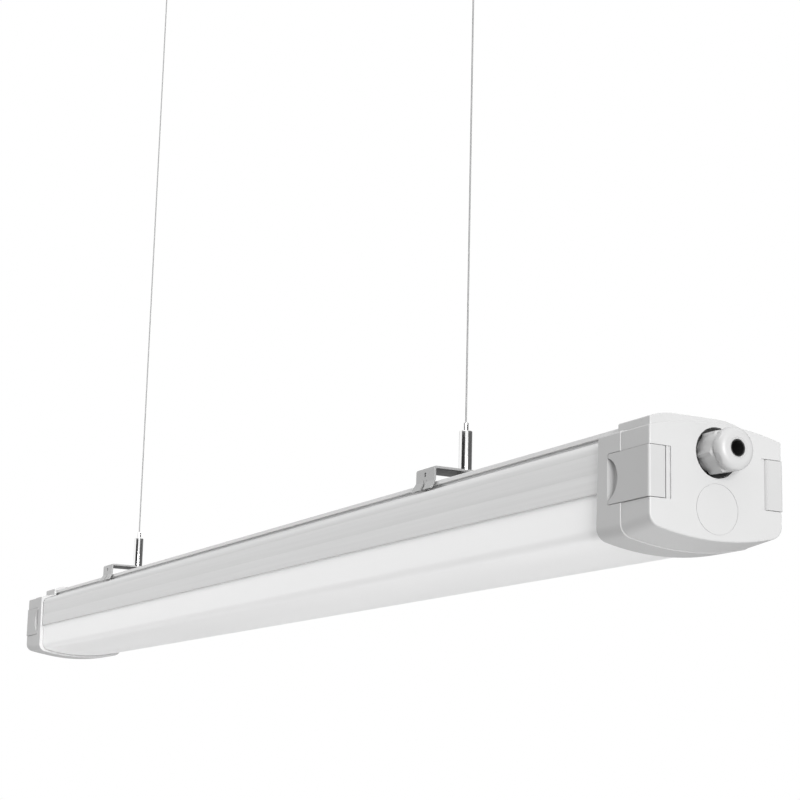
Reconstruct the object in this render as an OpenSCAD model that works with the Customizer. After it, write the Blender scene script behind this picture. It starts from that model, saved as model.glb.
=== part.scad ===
// Vapor tight light fixture, hung on two wires. Lengths are in millimetres.
// The origin is on the ceiling, midway between the two ceiling screws. +X runs along the fixture to
// the end with the cable gland, and +Z is up. Pieces of one end are drawn with x = 0 at the end face
// and the inside at negative x, and z = 0 is the top of the housing's rail.

/* [Hanging] */
// Height of the ceiling above the rail
drop = 693; // [400:1:1500]
// Distance between the two ceiling screws
wire_pitch = 684; // [500:1:760]
// How far the fixture's middle stands from the middle of the two wires
fixture_shift = 29; // [-60:1:60]
// Thickness of a suspension wire
wire_d = 1.2; // [1:0.1:1.5]

/* [Fixture] */
// Overall length over the two end faces
fixture_len = 1200; // [1100:10:1500]
// Width across the end caps
cap_w = 96; // [95:0.5:100]
// Depth of the end caps below the rail's top
cap_bottom = 74.7; // [74:0.1:78]
// How far an end cap reaches along the fixture
cap_len = 50; // [48:0.5:56]
// Distance of the joint between collar and cover from the end face
split_at = 27; // [26:0.5:28]
// Width of the joint between collar and cover
split_gap = 0.6; // [0.4:0.1:0.8]

/* [Housing] */
// Width across the housing's side walls
wall_w = 91; // [90:0.5:91.5]
// Depth of the side walls below the rail's top
wall_h = 40.9; // [40:0.1:44]
// Thickness of the housing's walls
wall_t = 1.6; // [1.2:0.1:2]
// Width of the rail on top
rail_w = 61.8; // [58:0.2:64]
// Thickness of the rail's lips
lip_t = 3.1; // [2.7:0.1:3.4]
// Height of the groove under a lip
groove_h = 2.4; // [2.3:0.1:2.8]
// Depth of the groove under a lip
groove_d = 2.4; // [2.3:0.1:3]

/* [Diffuser] */
// Width of the diffuser
diffuser_w = 88; // [87:0.2:88.4]
// Depth of the diffuser below the rail's top
diffuser_bottom = 71.9; // [70:0.1:72.2]
// Thickness of the diffuser
diffuser_t = 2; // [1.5:0.1:2.4]

/* [Latches] */
// Height of a latch
latch_h = 29.9; // [27:0.1:32]
// Depth of a latch's middle below the rail's top
latch_z = 34.85; // [33:0.05:36]
// Length of a latch along the fixture's side
latch_len = 39.6; // [38:0.2:42]
// Thickness of a latch's side plate
latch_t = 3; // [2.6:0.1:3.4]
// Diameter of a latch's pin
latch_pin_d = 2.5; // [2:0.1:3]
// How far a latch wraps onto the end face, measured from the cap's side
latch_wrap = 10.4; // [8:0.1:10.8]

/* [Cable gland] */
// Depth of the gland's axis below the rail's top
gland_z = 20; // [19.6:0.1:24]
// Diameter of the recess round the gland
gland_recess_d = 30; // [29:0.5:32]
// Width of the gland's hexagon across its flats
gland_af = 24; // [23:0.1:25]
// Diameter of the gland's thread through the cover
gland_thread_d = 19.8; // [18:0.1:20.4]
// Bore of the gland's rubber insert
cable_d = 8.6; // [7:0.1:9.4]

/* [Brackets] */
// Width of a bracket along the fixture
bracket_w = 26; // [22:1:34]
// Height of a bracket above the rail
bracket_h = 10.9; // [10:0.1:13]
// Thickness of a bracket's strip
bracket_t = 1.6; // [1.2:0.1:1.9]

/* [Grippers] */
// Diameter of a gripper
gripper_d = 9.4; // [9.2:0.1:12]
// Height of a gripper's body
gripper_h = 30.6; // [30:0.1:36]
// Diameter of a gripper's plunger
plunger_d = 3.7; // [3.4:0.1:3.9]
// How far a plunger stands out at rest
plunger_out = 6.3; // [5:0.1:8]
// Diameter of a gripper's threaded stud
stud_d = 6; // [5:0.1:6.6]

/* [Ceiling fittings] */
// Diameter of a ceiling fitting
ceiling_d = 20; // [18:0.5:26]
// Height of a ceiling fitting
ceiling_h = 31; // [30:0.5:40]
// Diameter of the screw hole in a ceiling base
screw_hole_d = 4.5; // [4:0.1:5]

/* [Hidden] */
// Clearances: for pieces that slide past each other, for the gland's nut, for a turning shaft, for a seat
fit_gap = 0.3;
nut_gap = 0.15;
run_gap = 0.05;
seat_gap = 0.02;
// How far every cut runs past what it cuts
over = 1;
// Steps of a large arch, of a small corner and of a wire
arch_n = 12;
corner_n = 6;
wire_n = 30;
wire_sides = 8;
$fn = 48;

half_len = fixture_len / 2;
cap_y = cap_w / 2;
wall_y = wall_w / 2;
rail_y = rail_w / 2;
diffuser_y = diffuser_w / 2;

// The crown under the diffuser and the caps, and the arch over the caps
crown_r = 180;
diffuser_corner_r = 7;
cap_corner_r = 8.5;
arch_r = 190;
arch_top = 2;
// How far the cover's underside rises from the joint to the end face
cover_rise = 3;
// The hood over the rail's end
hood_w = 67;
hood_top = 5;
hood_eave = 1.5;
hood_flat = 16.3;
hood_front = 18.7;

// The housing's shoulder and the faint lines along its wall
shoulder_top = lip_t + groove_h;
shoulder_h = 9.7;
shoulder_r = 6;
shoulder_turn = 55;
wall_top = shoulder_top + shoulder_h;
line_z = [17, 28.7];
line_w = 0.4;
line_d = 0.3;
roof_t = 1.8;
groove_wall = 2;

// The shelf that carries the tray, and the hook that the diffuser's flange hangs on
shelf_z = 31;
shelf_t = 1.5;
seal_t = 0.8;
rim_z = shelf_z + shelf_t + seal_t;
flange_l = 1.6;
flange_t = 1.8;
flange_drop = 1.4;
flange_y = diffuser_y - diffuser_t - flange_l;
leg_y = flange_y - fit_gap;
leg_t = 1.5;
hook_y = leg_y + flange_l - fit_gap;
hook_z = rim_z + flange_drop + flange_t;
hook_t = 1.5;

// The ports for the collars' screws
port_in = 8;
port_up = 3;
port_y = wall_y - port_in;
port_z = wall_top - port_up;
port_r = 3.4;
collar_screw_r = 1.5;
port_bore_r = collar_screw_r + seat_gap;
collar_screw_head_r = 2.8;
collar_screw_head_h = 2.2;
collar_screw_l = 18;
screw_slot_w = 1;

// The opening through collar and cover
open_side = 8.5;
open_under = 8.7;
open_y = cap_y - open_side;
open_top = 8;
open_bottom = cap_bottom - open_under;
open_r = 5;
open_ear = 16;

// The housing's end inside the collar
housing_seal_t = 1.5;
web_t = 0.5;
ramp_start = 1;
housing_in = latch_len + ramp_start + web_t + housing_seal_t;
housing_x = half_len - housing_in;
cover_seal_t = 2;
cover_seal_w = 1.8;
cover_seal_edge = 0.8;

// The cover's end wall and the places of the cable entry and the knock-out
end_t = 3;
recess_d = 4;
entry_boss_t = 3;
entry_boss_r = gland_recess_d / 2 + end_t;
knockout_r = 15;
knockout_z = 52.9;
knockout_line = 0.5;

// A latch: its pin, its sweep, its notch and its tabs
latch_proud = 0.3;
latch_y = cap_y + latch_proud;
latch_front = 0.4;
latch_corner_r = 1.5;
pin_inset = 6.5;
pin_x = latch_front - pin_inset;
pin_y = latch_y - pin_inset;
pin_r = latch_pin_d / 2;
barrel_r = 5.6;
sweep_r = 8.2;
// The shallow strip beside the latch's lip on the end face
lip_seat_w = 5;
lip_seat_d = 1;
pin_grip = 2.5;
block_wall = 2;
notch_chord = 24.9;
notch_depth = 9.6;
notch_r = (notch_chord * notch_chord / 4 + notch_depth * notch_depth) / (2 * notch_depth);
notch_x = notch_depth - latch_len - notch_r;
ramp_deep = 4.6;
ramp_n = 8;
tab_l = 3;
tab_out = 3;
tab_in = 4.6;
tab_h = 3.5;
tab_edge = 1;
tab_room = 0.6;

// The gland, measured outwards from the end face
gland_floor = -recess_d;
gland_washer_t = 1;
gland_hex_from = gland_floor + gland_washer_t;
gland_hex_to = 12.5;
gland_turn = 12;
gland_spigot_to = 15.5;
gland_tip = 19.5;
gland_thread_to = -16;
gland_spigot_r = 10.5;
gland_bore_r = 6;
gland_seat = 4;
gland_seat_r = 8.6;
gland_nut_d = 25.7;
gland_nut_af = 24.75;
gland_nut_face = 3;
gland_nut_round = 4.5;
gland_mouth_r = 5.1;
gland_mouth_in = 0.6;
claw_t = 1.2;
claw_slot_w = 0.6;
claw_root = 2.4;
lock_nut_af = 23;
lock_nut_t = 5;

// The tray and what it carries
tray_t = 1;
tray_edge = 4;
tray_in = 62;
board_t = 1.6;
board_w = 24;
board_y = 18;
board_gap = 4;
board_count = 4;
board_len = (fixture_len - 2 * tray_in - (board_count + 1) * board_gap) / board_count;
chip = 3;
chip_t = 0.7;
chip_count = 8;
driver_l = 230;
driver_w = 30;
driver_h = 20;
driver_x = 60;
block_l = 24;
block_w = 30;
block_h = 14;
block_in = 100;
lead_r = 1.1;
lead_pitch = 8;
lead_rise = 5;
led_lead_in = 6;
led_lead_out = 10;

// A bracket: its leg, its flared foot and the tongue that hooks under the rail's lip
leg_in = rail_y + fit_gap;
leg_out = leg_in + bracket_t;
foot_top = 0.5;
foot_bottom = -5.4;
foot_flare = 3.2;
tongue_w = 3.4;
window_w = 4.4;
window_top = 2;
tongue_reach = 2.2;
tongue_top = -lip_t - fit_gap;
leg_hole_r = 1.6;
leg_hole_z = 6;

// A gripper, measured upwards from the bracket's top face
stud_l = 7;
stud_bore_r = wire_d / 2 + fit_gap;
nut_af = 10;
nut_h = 4.5;
plunger_r = plunger_d / 2;
plunger_bore_r = wire_d / 2 + fit_gap;
chamber_bottom = 5;
chamber_r = 3.9;
cone_bottom = 14.6;
cone_top = 24.6;
cone_top_r = 2.6;
ball_r = 1.2;
ball_gap = 0.12;
ball_room = 0.4;
ball_z = 19.6;
ball_count = 3;
plunger_foot = ball_z + ball_r + ball_room;
spring_seat_r = 3.3;
spring_seat_t = 1.2;
spring_seat_z = ball_z - ball_r - ball_room;
spring_bottom = chamber_bottom;
spring_coil_r = 2.55;
spring_wire_r = 0.35;
spring_turns = 5;
spring_steps = 12;
spring_sides = 6;

// A ceiling fitting, measured downwards from the ceiling
base_flange = 5;
base_spigot_r = 8;
base_spigot_to = 15;
base_floor = 7;
base_head_r = 4.6;
cap_floor = 2;
cap_hole_r = wire_d / 2 + fit_gap;
wire_barrel_r = 2;
wire_barrel_h = 10;
cap_gap = 0.3;

// A wire runs from inside its gripper to its barrel, given as heights above the rail
wire_foot = bracket_h + 1;
wire_top = drop - ceiling_h + cap_floor;
near_x = wire_pitch / 2;
far_x = -wire_pitch / 2;

// Outlines are lists of [y, z] points. A half runs from the bottom, up the +y side, to the top.
function mirrored(half) = concat(half, [for (i = [len(half) - 1 : -1 : 0]) [-half[i][0], half[i][1]]]);

// Crowned bottom and round corner of a trough, up to where its side starts
function trough(y, bottom, crown, corner) =
    let (cz = crown - bottom, ky = y - corner, kz = cz - sqrt(pow(crown - corner, 2) - ky * ky),
         turn = atan2(kz - cz, ky))
    concat([for (i = [1 : arch_n]) let (a = -90 + (turn + 90) * i / arch_n) [crown * cos(a), cz + crown * sin(a)]],
           [for (i = [1 : corner_n]) let (a = turn * (1 - i / corner_n)) [ky + corner * cos(a), kz + corner * sin(a)]]);

function arch_z(y) = sqrt(arch_r * arch_r - y * y) - arch_r - arch_top;

cap_half = concat(trough(cap_y, cap_bottom, crown_r, cap_corner_r),
                  [for (i = [arch_n : -1 : 1]) [cap_y * i / arch_n, arch_z(cap_y * i / arch_n)]]);

open_half = concat(trough(open_y, open_bottom, crown_r, open_r),
                   [[open_y, -open_top - open_ear], [open_y - open_ear, -open_top]]);

hood_r = (pow(hood_w / 2 - hood_flat, 2) + pow(hood_top - hood_eave, 2)) / (2 * (hood_top - hood_eave));
hood_half = concat([[hood_w / 2, arch_z(hood_w / 2) - over]],
                   [for (i = [0 : corner_n]) let (a = asin((hood_w / 2 - hood_flat) / hood_r) * (1 - i / corner_n))
                    [hood_flat + hood_r * sin(a), hood_top - hood_r + hood_r * cos(a)]]);

function shoulder(grow) = [for (i = [0 : corner_n]) let (a = shoulder_turn * i / corner_n, r = shoulder_r + grow)
    [wall_y - shoulder_r + r * cos(a), -wall_top + r * sin(a)]];

function wall_line(z) = [[wall_y, -z - line_w], [wall_y - line_d, -z], [wall_y, -z + line_w]];

housing_outer = concat([[wall_y, -wall_h]], wall_line(line_z[1]), wall_line(line_z[0]), shoulder(0),
    [[rail_y, -shoulder_top], [rail_y - groove_d, -shoulder_top], [rail_y - groove_d, -lip_t],
     [rail_y, -lip_t], [rail_y, 0]]);

housing_inner = concat([[diffuser_y + fit_gap, -wall_h], [diffuser_y + fit_gap, -shelf_z - shelf_t],
     [leg_y, -shelf_z - shelf_t], [leg_y, -hook_z], [hook_y, -hook_z], [hook_y, -hook_z - hook_t],
     [leg_y - leg_t, -hook_z - hook_t], [leg_y - leg_t, -shelf_z], [wall_y - wall_t, -shelf_z]],
    shoulder(-wall_t),
    [[rail_y, -shoulder_top - groove_wall], [rail_y - groove_d - wall_t, -shoulder_top - groove_wall],
     [rail_y - groove_d - wall_t, -roof_t]]);

// The shape that housing and diffuser make together, grown on every side
function body_half(grow) = concat(
    trough(diffuser_y + grow, diffuser_bottom + grow, crown_r + grow, diffuser_corner_r + grow),
    [[diffuser_y + grow, -wall_h - grow], [wall_y + grow, -wall_h - grow]], shoulder(grow),
    [[rail_y + grow, -shoulder_top + grow], [rail_y + grow, grow]]);

diffuser_outer = concat(trough(diffuser_y, diffuser_bottom, crown_r, diffuser_corner_r),
    [[diffuser_y, -rim_z], [diffuser_y - diffuser_t, -rim_z]]);

diffuser_inner = concat(
    trough(diffuser_y - diffuser_t, diffuser_bottom - diffuser_t, crown_r - diffuser_t,
           diffuser_corner_r - diffuser_t),
    [[diffuser_y - diffuser_t, -hook_z], [flange_y, -hook_z], [flange_y, -rim_z - flange_drop],
     [diffuser_y - diffuser_t, -rim_z - flange_drop]]);

function reversed(list) = [for (i = [len(list) - 1 : -1 : 0]) list[i]];
function flipped(list) = [for (p = list) [-p[0], p[1]]];

// Placing
module in_fixture() { translate([fixture_shift, 0, -drop]) children(); }
module at_near() { in_fixture() translate([half_len, 0, 0]) children(); }
module at_far() { in_fixture() mirror([1, 0, 0]) translate([half_len, 0, 0]) children(); }
module on_near_wire() { translate([near_x, 0, -drop]) children(); }
module on_far_wire() { translate([far_x, 0, -drop]) children(); }
module both_sides() {
    children();
    mirror([0, 1, 0]) children();
}

// Shapes. An outline's y and z become the model's, and the shape runs along x from one place to another.
module along_x(from, to) { translate([from, 0, 0]) rotate([90, 0, 90]) linear_extrude(to - from) children(); }
module rod_x(r, from, to, z) { translate([from, 0, z]) rotate([0, 90, 0]) cylinder(r = r, h = to - from); }
module hex_x(af, from, to, turn = 0) {
    translate([from, 0, 0]) rotate([90, 0, 90]) linear_extrude(to - from)
        rotate(turn) circle(r = af / sqrt(3), $fn = 6);
}
module slab(x0, x1, y0, y1, z0, z1) { translate([x0, y0, z0]) cube([x1 - x0, y1 - y0, z1 - z0]); }

// A tube along a route of points that climbs: one ring of corners per point, and a cap at each end
module tube(route, r, sides) {
    n = len(route);
    ring = function (i) let (p = route[i], d = route[min(i + 1, n - 1)] - route[max(i - 1, 0)],
                             t = d / norm(d), u0 = cross(t, abs(t[2]) > 0.9 ? [1, 0, 0] : [0, 0, 1]),
                             u = u0 / norm(u0), v = cross(t, u))
        [for (k = [0 : sides - 1]) p + r * cos(360 * k / sides) * u + r * sin(360 * k / sides) * v];
    points = [for (i = [0 : n - 1]) each ring(i)];
    last = (n - 1) * sides;
    walls = [for (i = [0 : n - 2], k = [0 : sides - 1]) let (a = i * sides + k, b = i * sides + (k + 1) % sides)
             each [[a, a + sides, b + sides], [a, b + sides, b]]];
    ends = concat([for (k = [1 : sides - 2]) [0, k, k + 1]],
                  [for (k = [1 : sides - 2]) [last, last + k + 1, last + k]]);
    polyhedron(points = points, faces = concat(walls, ends));
}

// The body
module housing() {
    color("gainsboro") in_fixture() along_x(-housing_x, housing_x) difference() {
        union() {
            polygon(concat(housing_outer, reversed(flipped(housing_outer)), flipped(housing_inner),
                           reversed(housing_inner)));
            for (side = [-1, 1]) translate([side * port_y, -port_z]) circle(r = port_r);
        }
        for (side = [-1, 1]) translate([side * port_y, -port_z]) circle(r = port_bore_r);
    }
}

module diffuser() {
    color("whitesmoke") in_fixture() along_x(-housing_x, housing_x)
        polygon(concat(diffuser_outer, reversed(diffuser_inner), flipped(diffuser_inner),
                       reversed(flipped(diffuser_outer))));
}

module diffuser_seals() {
    color("dimgray") in_fixture() both_sides()
        slab(-housing_x, housing_x, diffuser_y - diffuser_t, diffuser_y, -rim_z, -shelf_z - shelf_t);
}

// The ends
module screw_axes(from, to, r) {
    for (side = [-1, 1]) translate([0, side * port_y, 0]) rod_x(r, from, to, -port_z);
}

module ring_2d(outer, inner) {
    difference() {
        polygon(mirrored(outer));
        polygon(mirrored(inner));
    }
}

module housing_seal() {
    color("dimgray") difference() {
        along_x(-housing_in, housing_seal_t - housing_in) ring_2d(body_half(0), open_half);
        screw_axes(-housing_in - over, housing_seal_t - housing_in + over, collar_screw_r + seat_gap);
    }
}

function open_grown(grow) = concat(trough(open_y + grow, open_bottom + grow, crown_r + grow, open_r + grow),
    [[open_y + grow, -open_top - open_ear + grow], [open_y - open_ear + grow, -open_top + grow]]);

module cover_seal() {
    color("dimgray") along_x(-split_at - split_gap / 2 - cover_seal_t + split_gap, split_gap / 2 - split_at)
        ring_2d(open_grown(cover_seal_edge + cover_seal_w), open_grown(cover_seal_edge));
}

// What a latch needs cut out of collar and cover
module latch_recess() {
    low = -latch_z - latch_h / 2 - fit_gap;
    high = latch_h / 2 - latch_z + fit_gap;
    floor_y = latch_y - latch_t - fit_gap;
    length = notch_depth + ramp_start;
    difference() {
        slab(-latch_len - fit_gap, pin_x, floor_y, cap_y + over, low, high);
        translate([notch_x, floor_y - over, -latch_z]) rotate([-90, 0, 0])
            cylinder(r = notch_r - fit_gap, h = cap_y - floor_y + 3 * over);
    }
    intersection() {
        translate([notch_x, cap_y + over, -latch_z]) rotate([90, 0, 0])
            cylinder(r = notch_r, h = ramp_deep + 2 * over);
        translate([0, 0, low]) linear_extrude(high - low)
            polygon(concat([for (i = [0 : ramp_n]) let (t = i / ramp_n)
                            [t * length - latch_len - ramp_start, cap_y - ramp_deep * t * (2 - t)]],
                           [[notch_depth - latch_len, cap_y + over], [-latch_len - ramp_start, cap_y + over]]));
    }
    tab_places() slab(-latch_len + tab_in - tab_room, -latch_len + tab_in + tab_l + tab_room,
        floor_y - tab_out, floor_y + over, -tab_room, tab_h + tab_room);
}

// The two tabs lie near the latch's top and bottom edge, clear of the finger notch
module tab_places() {
    translate([0, 0, latch_h / 2 - tab_edge - tab_h - latch_z]) children();
    translate([0, 0, tab_edge - latch_h / 2 - latch_z]) children();
}

module latch_pocket() {
    low = -latch_z - latch_h / 2 - fit_gap;
    high = latch_h / 2 - latch_z + fit_gap;
    translate([pin_x, pin_y, low]) cylinder(r = sweep_r, h = high - low);
    slab(pin_x - sweep_r, over, pin_y, cap_y + over, low, high);
    slab(-lip_seat_d, over, cap_y - latch_wrap - lip_seat_w, pin_y, low, high);
}

module pin_bore() {
    translate([pin_x, pin_y, -latch_z - latch_h / 2 - pin_grip])
        cylinder(r = pin_r + seat_gap, h = latch_h + 2 * pin_grip);
}

module collar() {
    color("silver") difference() {
        union() {
            along_x(-cap_len, -split_at - split_gap / 2) polygon(mirrored(cap_half));
            along_x(-cap_len, -split_at - split_gap / 2) polygon(mirrored(hood_half));
        }
        along_x(-cap_len - over, housing_seal_t - housing_in) polygon(mirrored(body_half(fit_gap)));
        along_x(-cap_len, over) polygon(mirrored(open_half));
        along_x(split_gap / 2 - split_at - cover_seal_t, over)
            ring_2d(open_grown(cover_seal_edge + cover_seal_w), open_grown(cover_seal_edge));
        screw_axes(-cap_len, 0, collar_screw_r + seat_gap);
        screw_axes(-split_at - split_gap / 2 - collar_screw_head_h, 0, collar_screw_head_r + fit_gap);
        both_sides() latch_recess();
    }
}

module cover_body() {
    tilt = atan(cover_rise / split_at);
    intersection() {
        union() {
            along_x(split_gap / 2 - split_at, 0) polygon(mirrored(cap_half));
            along_x(split_gap / 2 - split_at, -hood_front) polygon(mirrored(hood_half));
        }
        translate([-split_at, 0, -cap_bottom]) rotate([0, -tilt, 0]) translate([-over, 0, cap_bottom])
            along_x(-over, split_at + cap_bottom)
                polygon(mirrored(concat(trough(cap_y, cap_bottom, crown_r, cap_corner_r),
                                        [[cap_y, cap_bottom]])));
    }
}

module cover_shell(entry) {
    low = -latch_z - latch_h / 2 - pin_grip - block_wall;
    high = latch_h / 2 - latch_z + pin_grip + block_wall;
    difference() {
        union() {
            difference() {
                cover_body();
                along_x(-split_at, -end_t) polygon(mirrored(open_half));
            }
            intersection() {
                cover_body();
                union() {
                    both_sides() slab(pin_x - sweep_r - block_wall, 0, pin_y - sweep_r - block_wall, cap_y,
                                      low, high);
                    if (entry) rod_x(entry_boss_r, -recess_d - entry_boss_t, 0, -gland_z);
                }
            }
        }
        both_sides() {
            latch_recess();
            latch_pocket();
            pin_bore();
        }
        along_x(-knockout_line, over) translate([0, -knockout_z]) difference() {
            circle(r = knockout_r);
            circle(r = knockout_r - knockout_line);
        }
        if (entry) {
            rod_x(gland_recess_d / 2, gland_floor, over, -gland_z);
            rod_x(gland_thread_d / 2 + fit_gap, -split_at, over, -gland_z);
        }
    }
}

module collar_screw() {
    head = -split_at - split_gap / 2 - collar_screw_head_h;
    screw_axes(head - collar_screw_l, head, collar_screw_r);
    difference() {
        screw_axes(head, head + collar_screw_head_h, collar_screw_head_r);
        for (side = [-1, 1]) translate([head + collar_screw_head_h / 2, side * port_y, -port_z])
            slab(0, collar_screw_head_h, -collar_screw_head_r, collar_screw_head_r, -screw_slot_w / 2,
                 screw_slot_w / 2);
    }
}

module near_collar() { at_near() collar(); }
module far_collar() { at_far() collar(); }
module near_cover() { color("whitesmoke") at_near() cover_shell(true); }
module far_cover() { color("whitesmoke") at_far() cover_shell(false); }
module near_housing_seal() { at_near() housing_seal(); }
module far_housing_seal() { at_far() housing_seal(); }
module near_cover_seal() { at_near() cover_seal(); }
module far_cover_seal() { at_far() cover_seal(); }
module collar_screws() {
    color("silver") {
        at_near() collar_screw();
        at_far() collar_screw();
    }
}

// The latches
module latch() {
    side_face = latch_y;
    front_face = latch_front;
    color("lightgray") difference() {
        union() {
            translate([0, 0, -latch_z - latch_h / 2]) linear_extrude(latch_h) {
                translate([pin_x, pin_y]) circle(r = barrel_r);
                translate([-latch_len, side_face - latch_t]) square([latch_len + pin_x, latch_t]);
                translate([pin_x, pin_y])
                    square([front_face - latch_corner_r - pin_x, side_face - pin_y]);
                translate([front_face - latch_corner_r, side_face - latch_corner_r])
                    circle(r = latch_corner_r);
                translate([pin_x, cap_y - latch_wrap])
                    square([front_face - pin_x, side_face - latch_corner_r - cap_y + latch_wrap]);
                intersection() {
                    translate([pin_x, pin_y]) circle(r = sweep_r - fit_gap);
                    translate([pin_x, pin_y - sweep_r]) square([front_face - pin_x, sweep_r]);
                }
            }
            tab_places() slab(-latch_len + tab_in, -latch_len + tab_in + tab_l,
                side_face - latch_t - tab_out + fit_gap, side_face - latch_t / 2, 0, tab_h);
        }
        translate([pin_x, pin_y, -latch_z - latch_h / 2 - over])
            cylinder(r = pin_r + run_gap, h = latch_h + 2 * over);
        translate([notch_x, side_face + over, -latch_z]) rotate([90, 0, 0])
            cylinder(r = notch_r, h = latch_t + 2 * over);
    }
}

module near_back_latch() { at_near() latch(); }
module near_front_latch() { at_near() mirror([0, 1, 0]) latch(); }
module far_back_latch() { at_far() latch(); }
module far_front_latch() { at_far() mirror([0, 1, 0]) latch(); }

module latch_pin() {
    translate([pin_x, pin_y, -latch_z - latch_h / 2 - pin_grip]) cylinder(r = pin_r, h = latch_h + 2 * pin_grip);
}

module latch_pins() {
    color("gray") {
        at_near() both_sides() latch_pin();
        at_far() both_sides() latch_pin();
    }
}

// The cable gland
module at_gland() { at_near() translate([0, 0, -gland_z]) children(); }

module gland_body() {
    color("silver") at_gland() difference() {
        union() {
            hex_x(gland_af, gland_hex_from, gland_hex_to, gland_turn);
            rod_x(gland_spigot_r, gland_hex_from, gland_spigot_to, 0);
            rod_x(gland_thread_d / 2, gland_thread_to, gland_hex_to, 0);
        }
        rod_x(gland_bore_r, gland_thread_to - over, gland_spigot_to + over, 0);
        rod_x(gland_seat_r, gland_seat, gland_spigot_to + over, 0);
    }
}

module gland_washer() {
    color("dimgray") at_gland() difference() {
        rod_x(gland_recess_d / 2 - fit_gap, gland_floor, gland_hex_from, 0);
        rod_x(gland_thread_d / 2 + seat_gap, gland_floor - over, gland_hex_from + over, 0);
    }
}

module gland_lock_nut() {
    to = -recess_d - entry_boss_t;
    color("silver") at_gland() difference() {
        hex_x(lock_nut_af, to - lock_nut_t, to);
        rod_x(gland_thread_d / 2 + seat_gap, to - lock_nut_t - over, to + over, 0);
    }
}

module gland_claws() {
    outer = gland_seat_r - seat_gap;
    color("silver") at_gland() difference() {
        rod_x(outer, gland_seat, gland_tip - gland_nut_face - fit_gap, 0);
        rod_x(outer - claw_t, gland_seat - over, gland_tip, 0);
        for (turn = [0 : 30 : 150]) rotate([turn, 0, 0])
            slab(gland_seat + claw_root, gland_tip, -outer - over, outer + over, -claw_slot_w / 2,
                 claw_slot_w / 2);
    }
}

module gland_insert() {
    color("dimgray") at_gland() difference() {
        union() {
            rod_x(gland_seat_r - claw_t - 2 * seat_gap, gland_seat, gland_tip - gland_nut_face - 3 * fit_gap, 0);
            rod_x(gland_mouth_r - fit_gap, gland_seat, gland_tip - gland_mouth_in, 0);
        }
        rod_x(cable_d / 2, gland_seat - over, gland_tip, 0);
    }
}

module gland_nut() {
    r = gland_nut_d / 2;
    from = gland_hex_to + fit_gap;
    color("whitesmoke") at_gland() difference() {
        intersection() {
            rotate([0, 90, 0]) rotate_extrude() {
                square([r, gland_tip - gland_nut_round]);
                square([r - gland_nut_round, gland_tip]);
                translate([r - gland_nut_round, gland_tip - gland_nut_round]) circle(r = gland_nut_round);
            }
            hex_x(gland_nut_af, from, gland_tip + over);
        }
        rod_x(gland_spigot_r + nut_gap, from - over, gland_spigot_to + fit_gap, 0);
        rod_x(gland_seat_r + nut_gap, gland_spigot_to, gland_tip - gland_nut_face, 0);
        rod_x(gland_mouth_r, gland_tip - gland_nut_face - over, gland_tip + over, 0);
    }
}

// The tray and what it carries
module gear_tray() {
    y = wall_y - wall_t - fit_gap;
    x = half_len - tray_in;
    color("white") in_fixture() difference() {
        union() {
            slab(-x, x, -y, y, -shelf_z, tray_t - shelf_z);
            both_sides() slab(-x, x, y - tray_t, y, -shelf_z, tray_edge - shelf_z);
        }
        for (side = [-1, 1]) translate([led_lead_x(), side * board_y, -shelf_z - over])
            cylinder(r = lead_r + fit_gap, h = tray_t + 2 * over);
    }
}

module board_places() {
    pitch = board_len + board_gap;
    for (side = [-1, 1], i = [0 : board_count - 1])
        translate([(i - (board_count - 1) / 2) * pitch, side * board_y, -shelf_z]) children();
}

module led_boards() {
    color("white") in_fixture() board_places()
        slab(-board_len / 2, board_len / 2, -board_w / 2, board_w / 2, -board_t, 0);
}

module led_chips() {
    pitch = board_len / chip_count;
    color("khaki") in_fixture() board_places() for (i = [0 : chip_count - 1])
        translate([(i - (chip_count - 1) / 2) * pitch, 0, -board_t])
            slab(-chip / 2, chip / 2, -chip / 2, chip / 2, -chip_t, 0);
}

module driver() {
    color("lightgray") in_fixture()
        slab(driver_x - driver_l / 2, driver_x + driver_l / 2, -driver_w / 2, driver_w / 2, tray_t - shelf_z,
             tray_t + driver_h - shelf_z);
}

module terminal_block() {
    color("white") in_fixture() difference() {
        slab(half_len - block_in - block_l, half_len - block_in, -block_w / 2, block_w / 2, tray_t - shelf_z,
             tray_t + block_h - shelf_z);
        for (i = [-1 : 1]) translate([half_len - block_in - block_l / 2, i * lead_pitch, -shelf_z + block_h / 2])
            cylinder(r = lead_r, h = block_h);
    }
}

module driver_leads() {
    color("lightblue") in_fixture() for (i = [-1 : 1]) translate([0, i * lead_pitch, 0])
        rod_x(lead_r, driver_x + driver_l / 2, half_len - block_in - block_l, tray_t + lead_rise - shelf_z);
}

function led_lead_x() = driver_x - driver_l / 2 - led_lead_out;

module led_leads() {
    z = tray_t + lead_rise - shelf_z;
    end = driver_x - driver_l / 2;
    y = driver_w / 2 - led_lead_in;
    color("tomato") in_fixture() both_sides() {
        translate([0, y, 0]) rod_x(lead_r, led_lead_x(), end, z);
        translate([led_lead_x(), y, z]) sphere(r = lead_r);
        translate([led_lead_x(), y, z]) rotate([-90, 0, 0]) cylinder(r = lead_r, h = board_y - y);
        translate([led_lead_x(), board_y, z]) sphere(r = lead_r);
        translate([led_lead_x(), board_y, -shelf_z]) cylinder(r = lead_r, h = z + shelf_z);
    }
}

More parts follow.
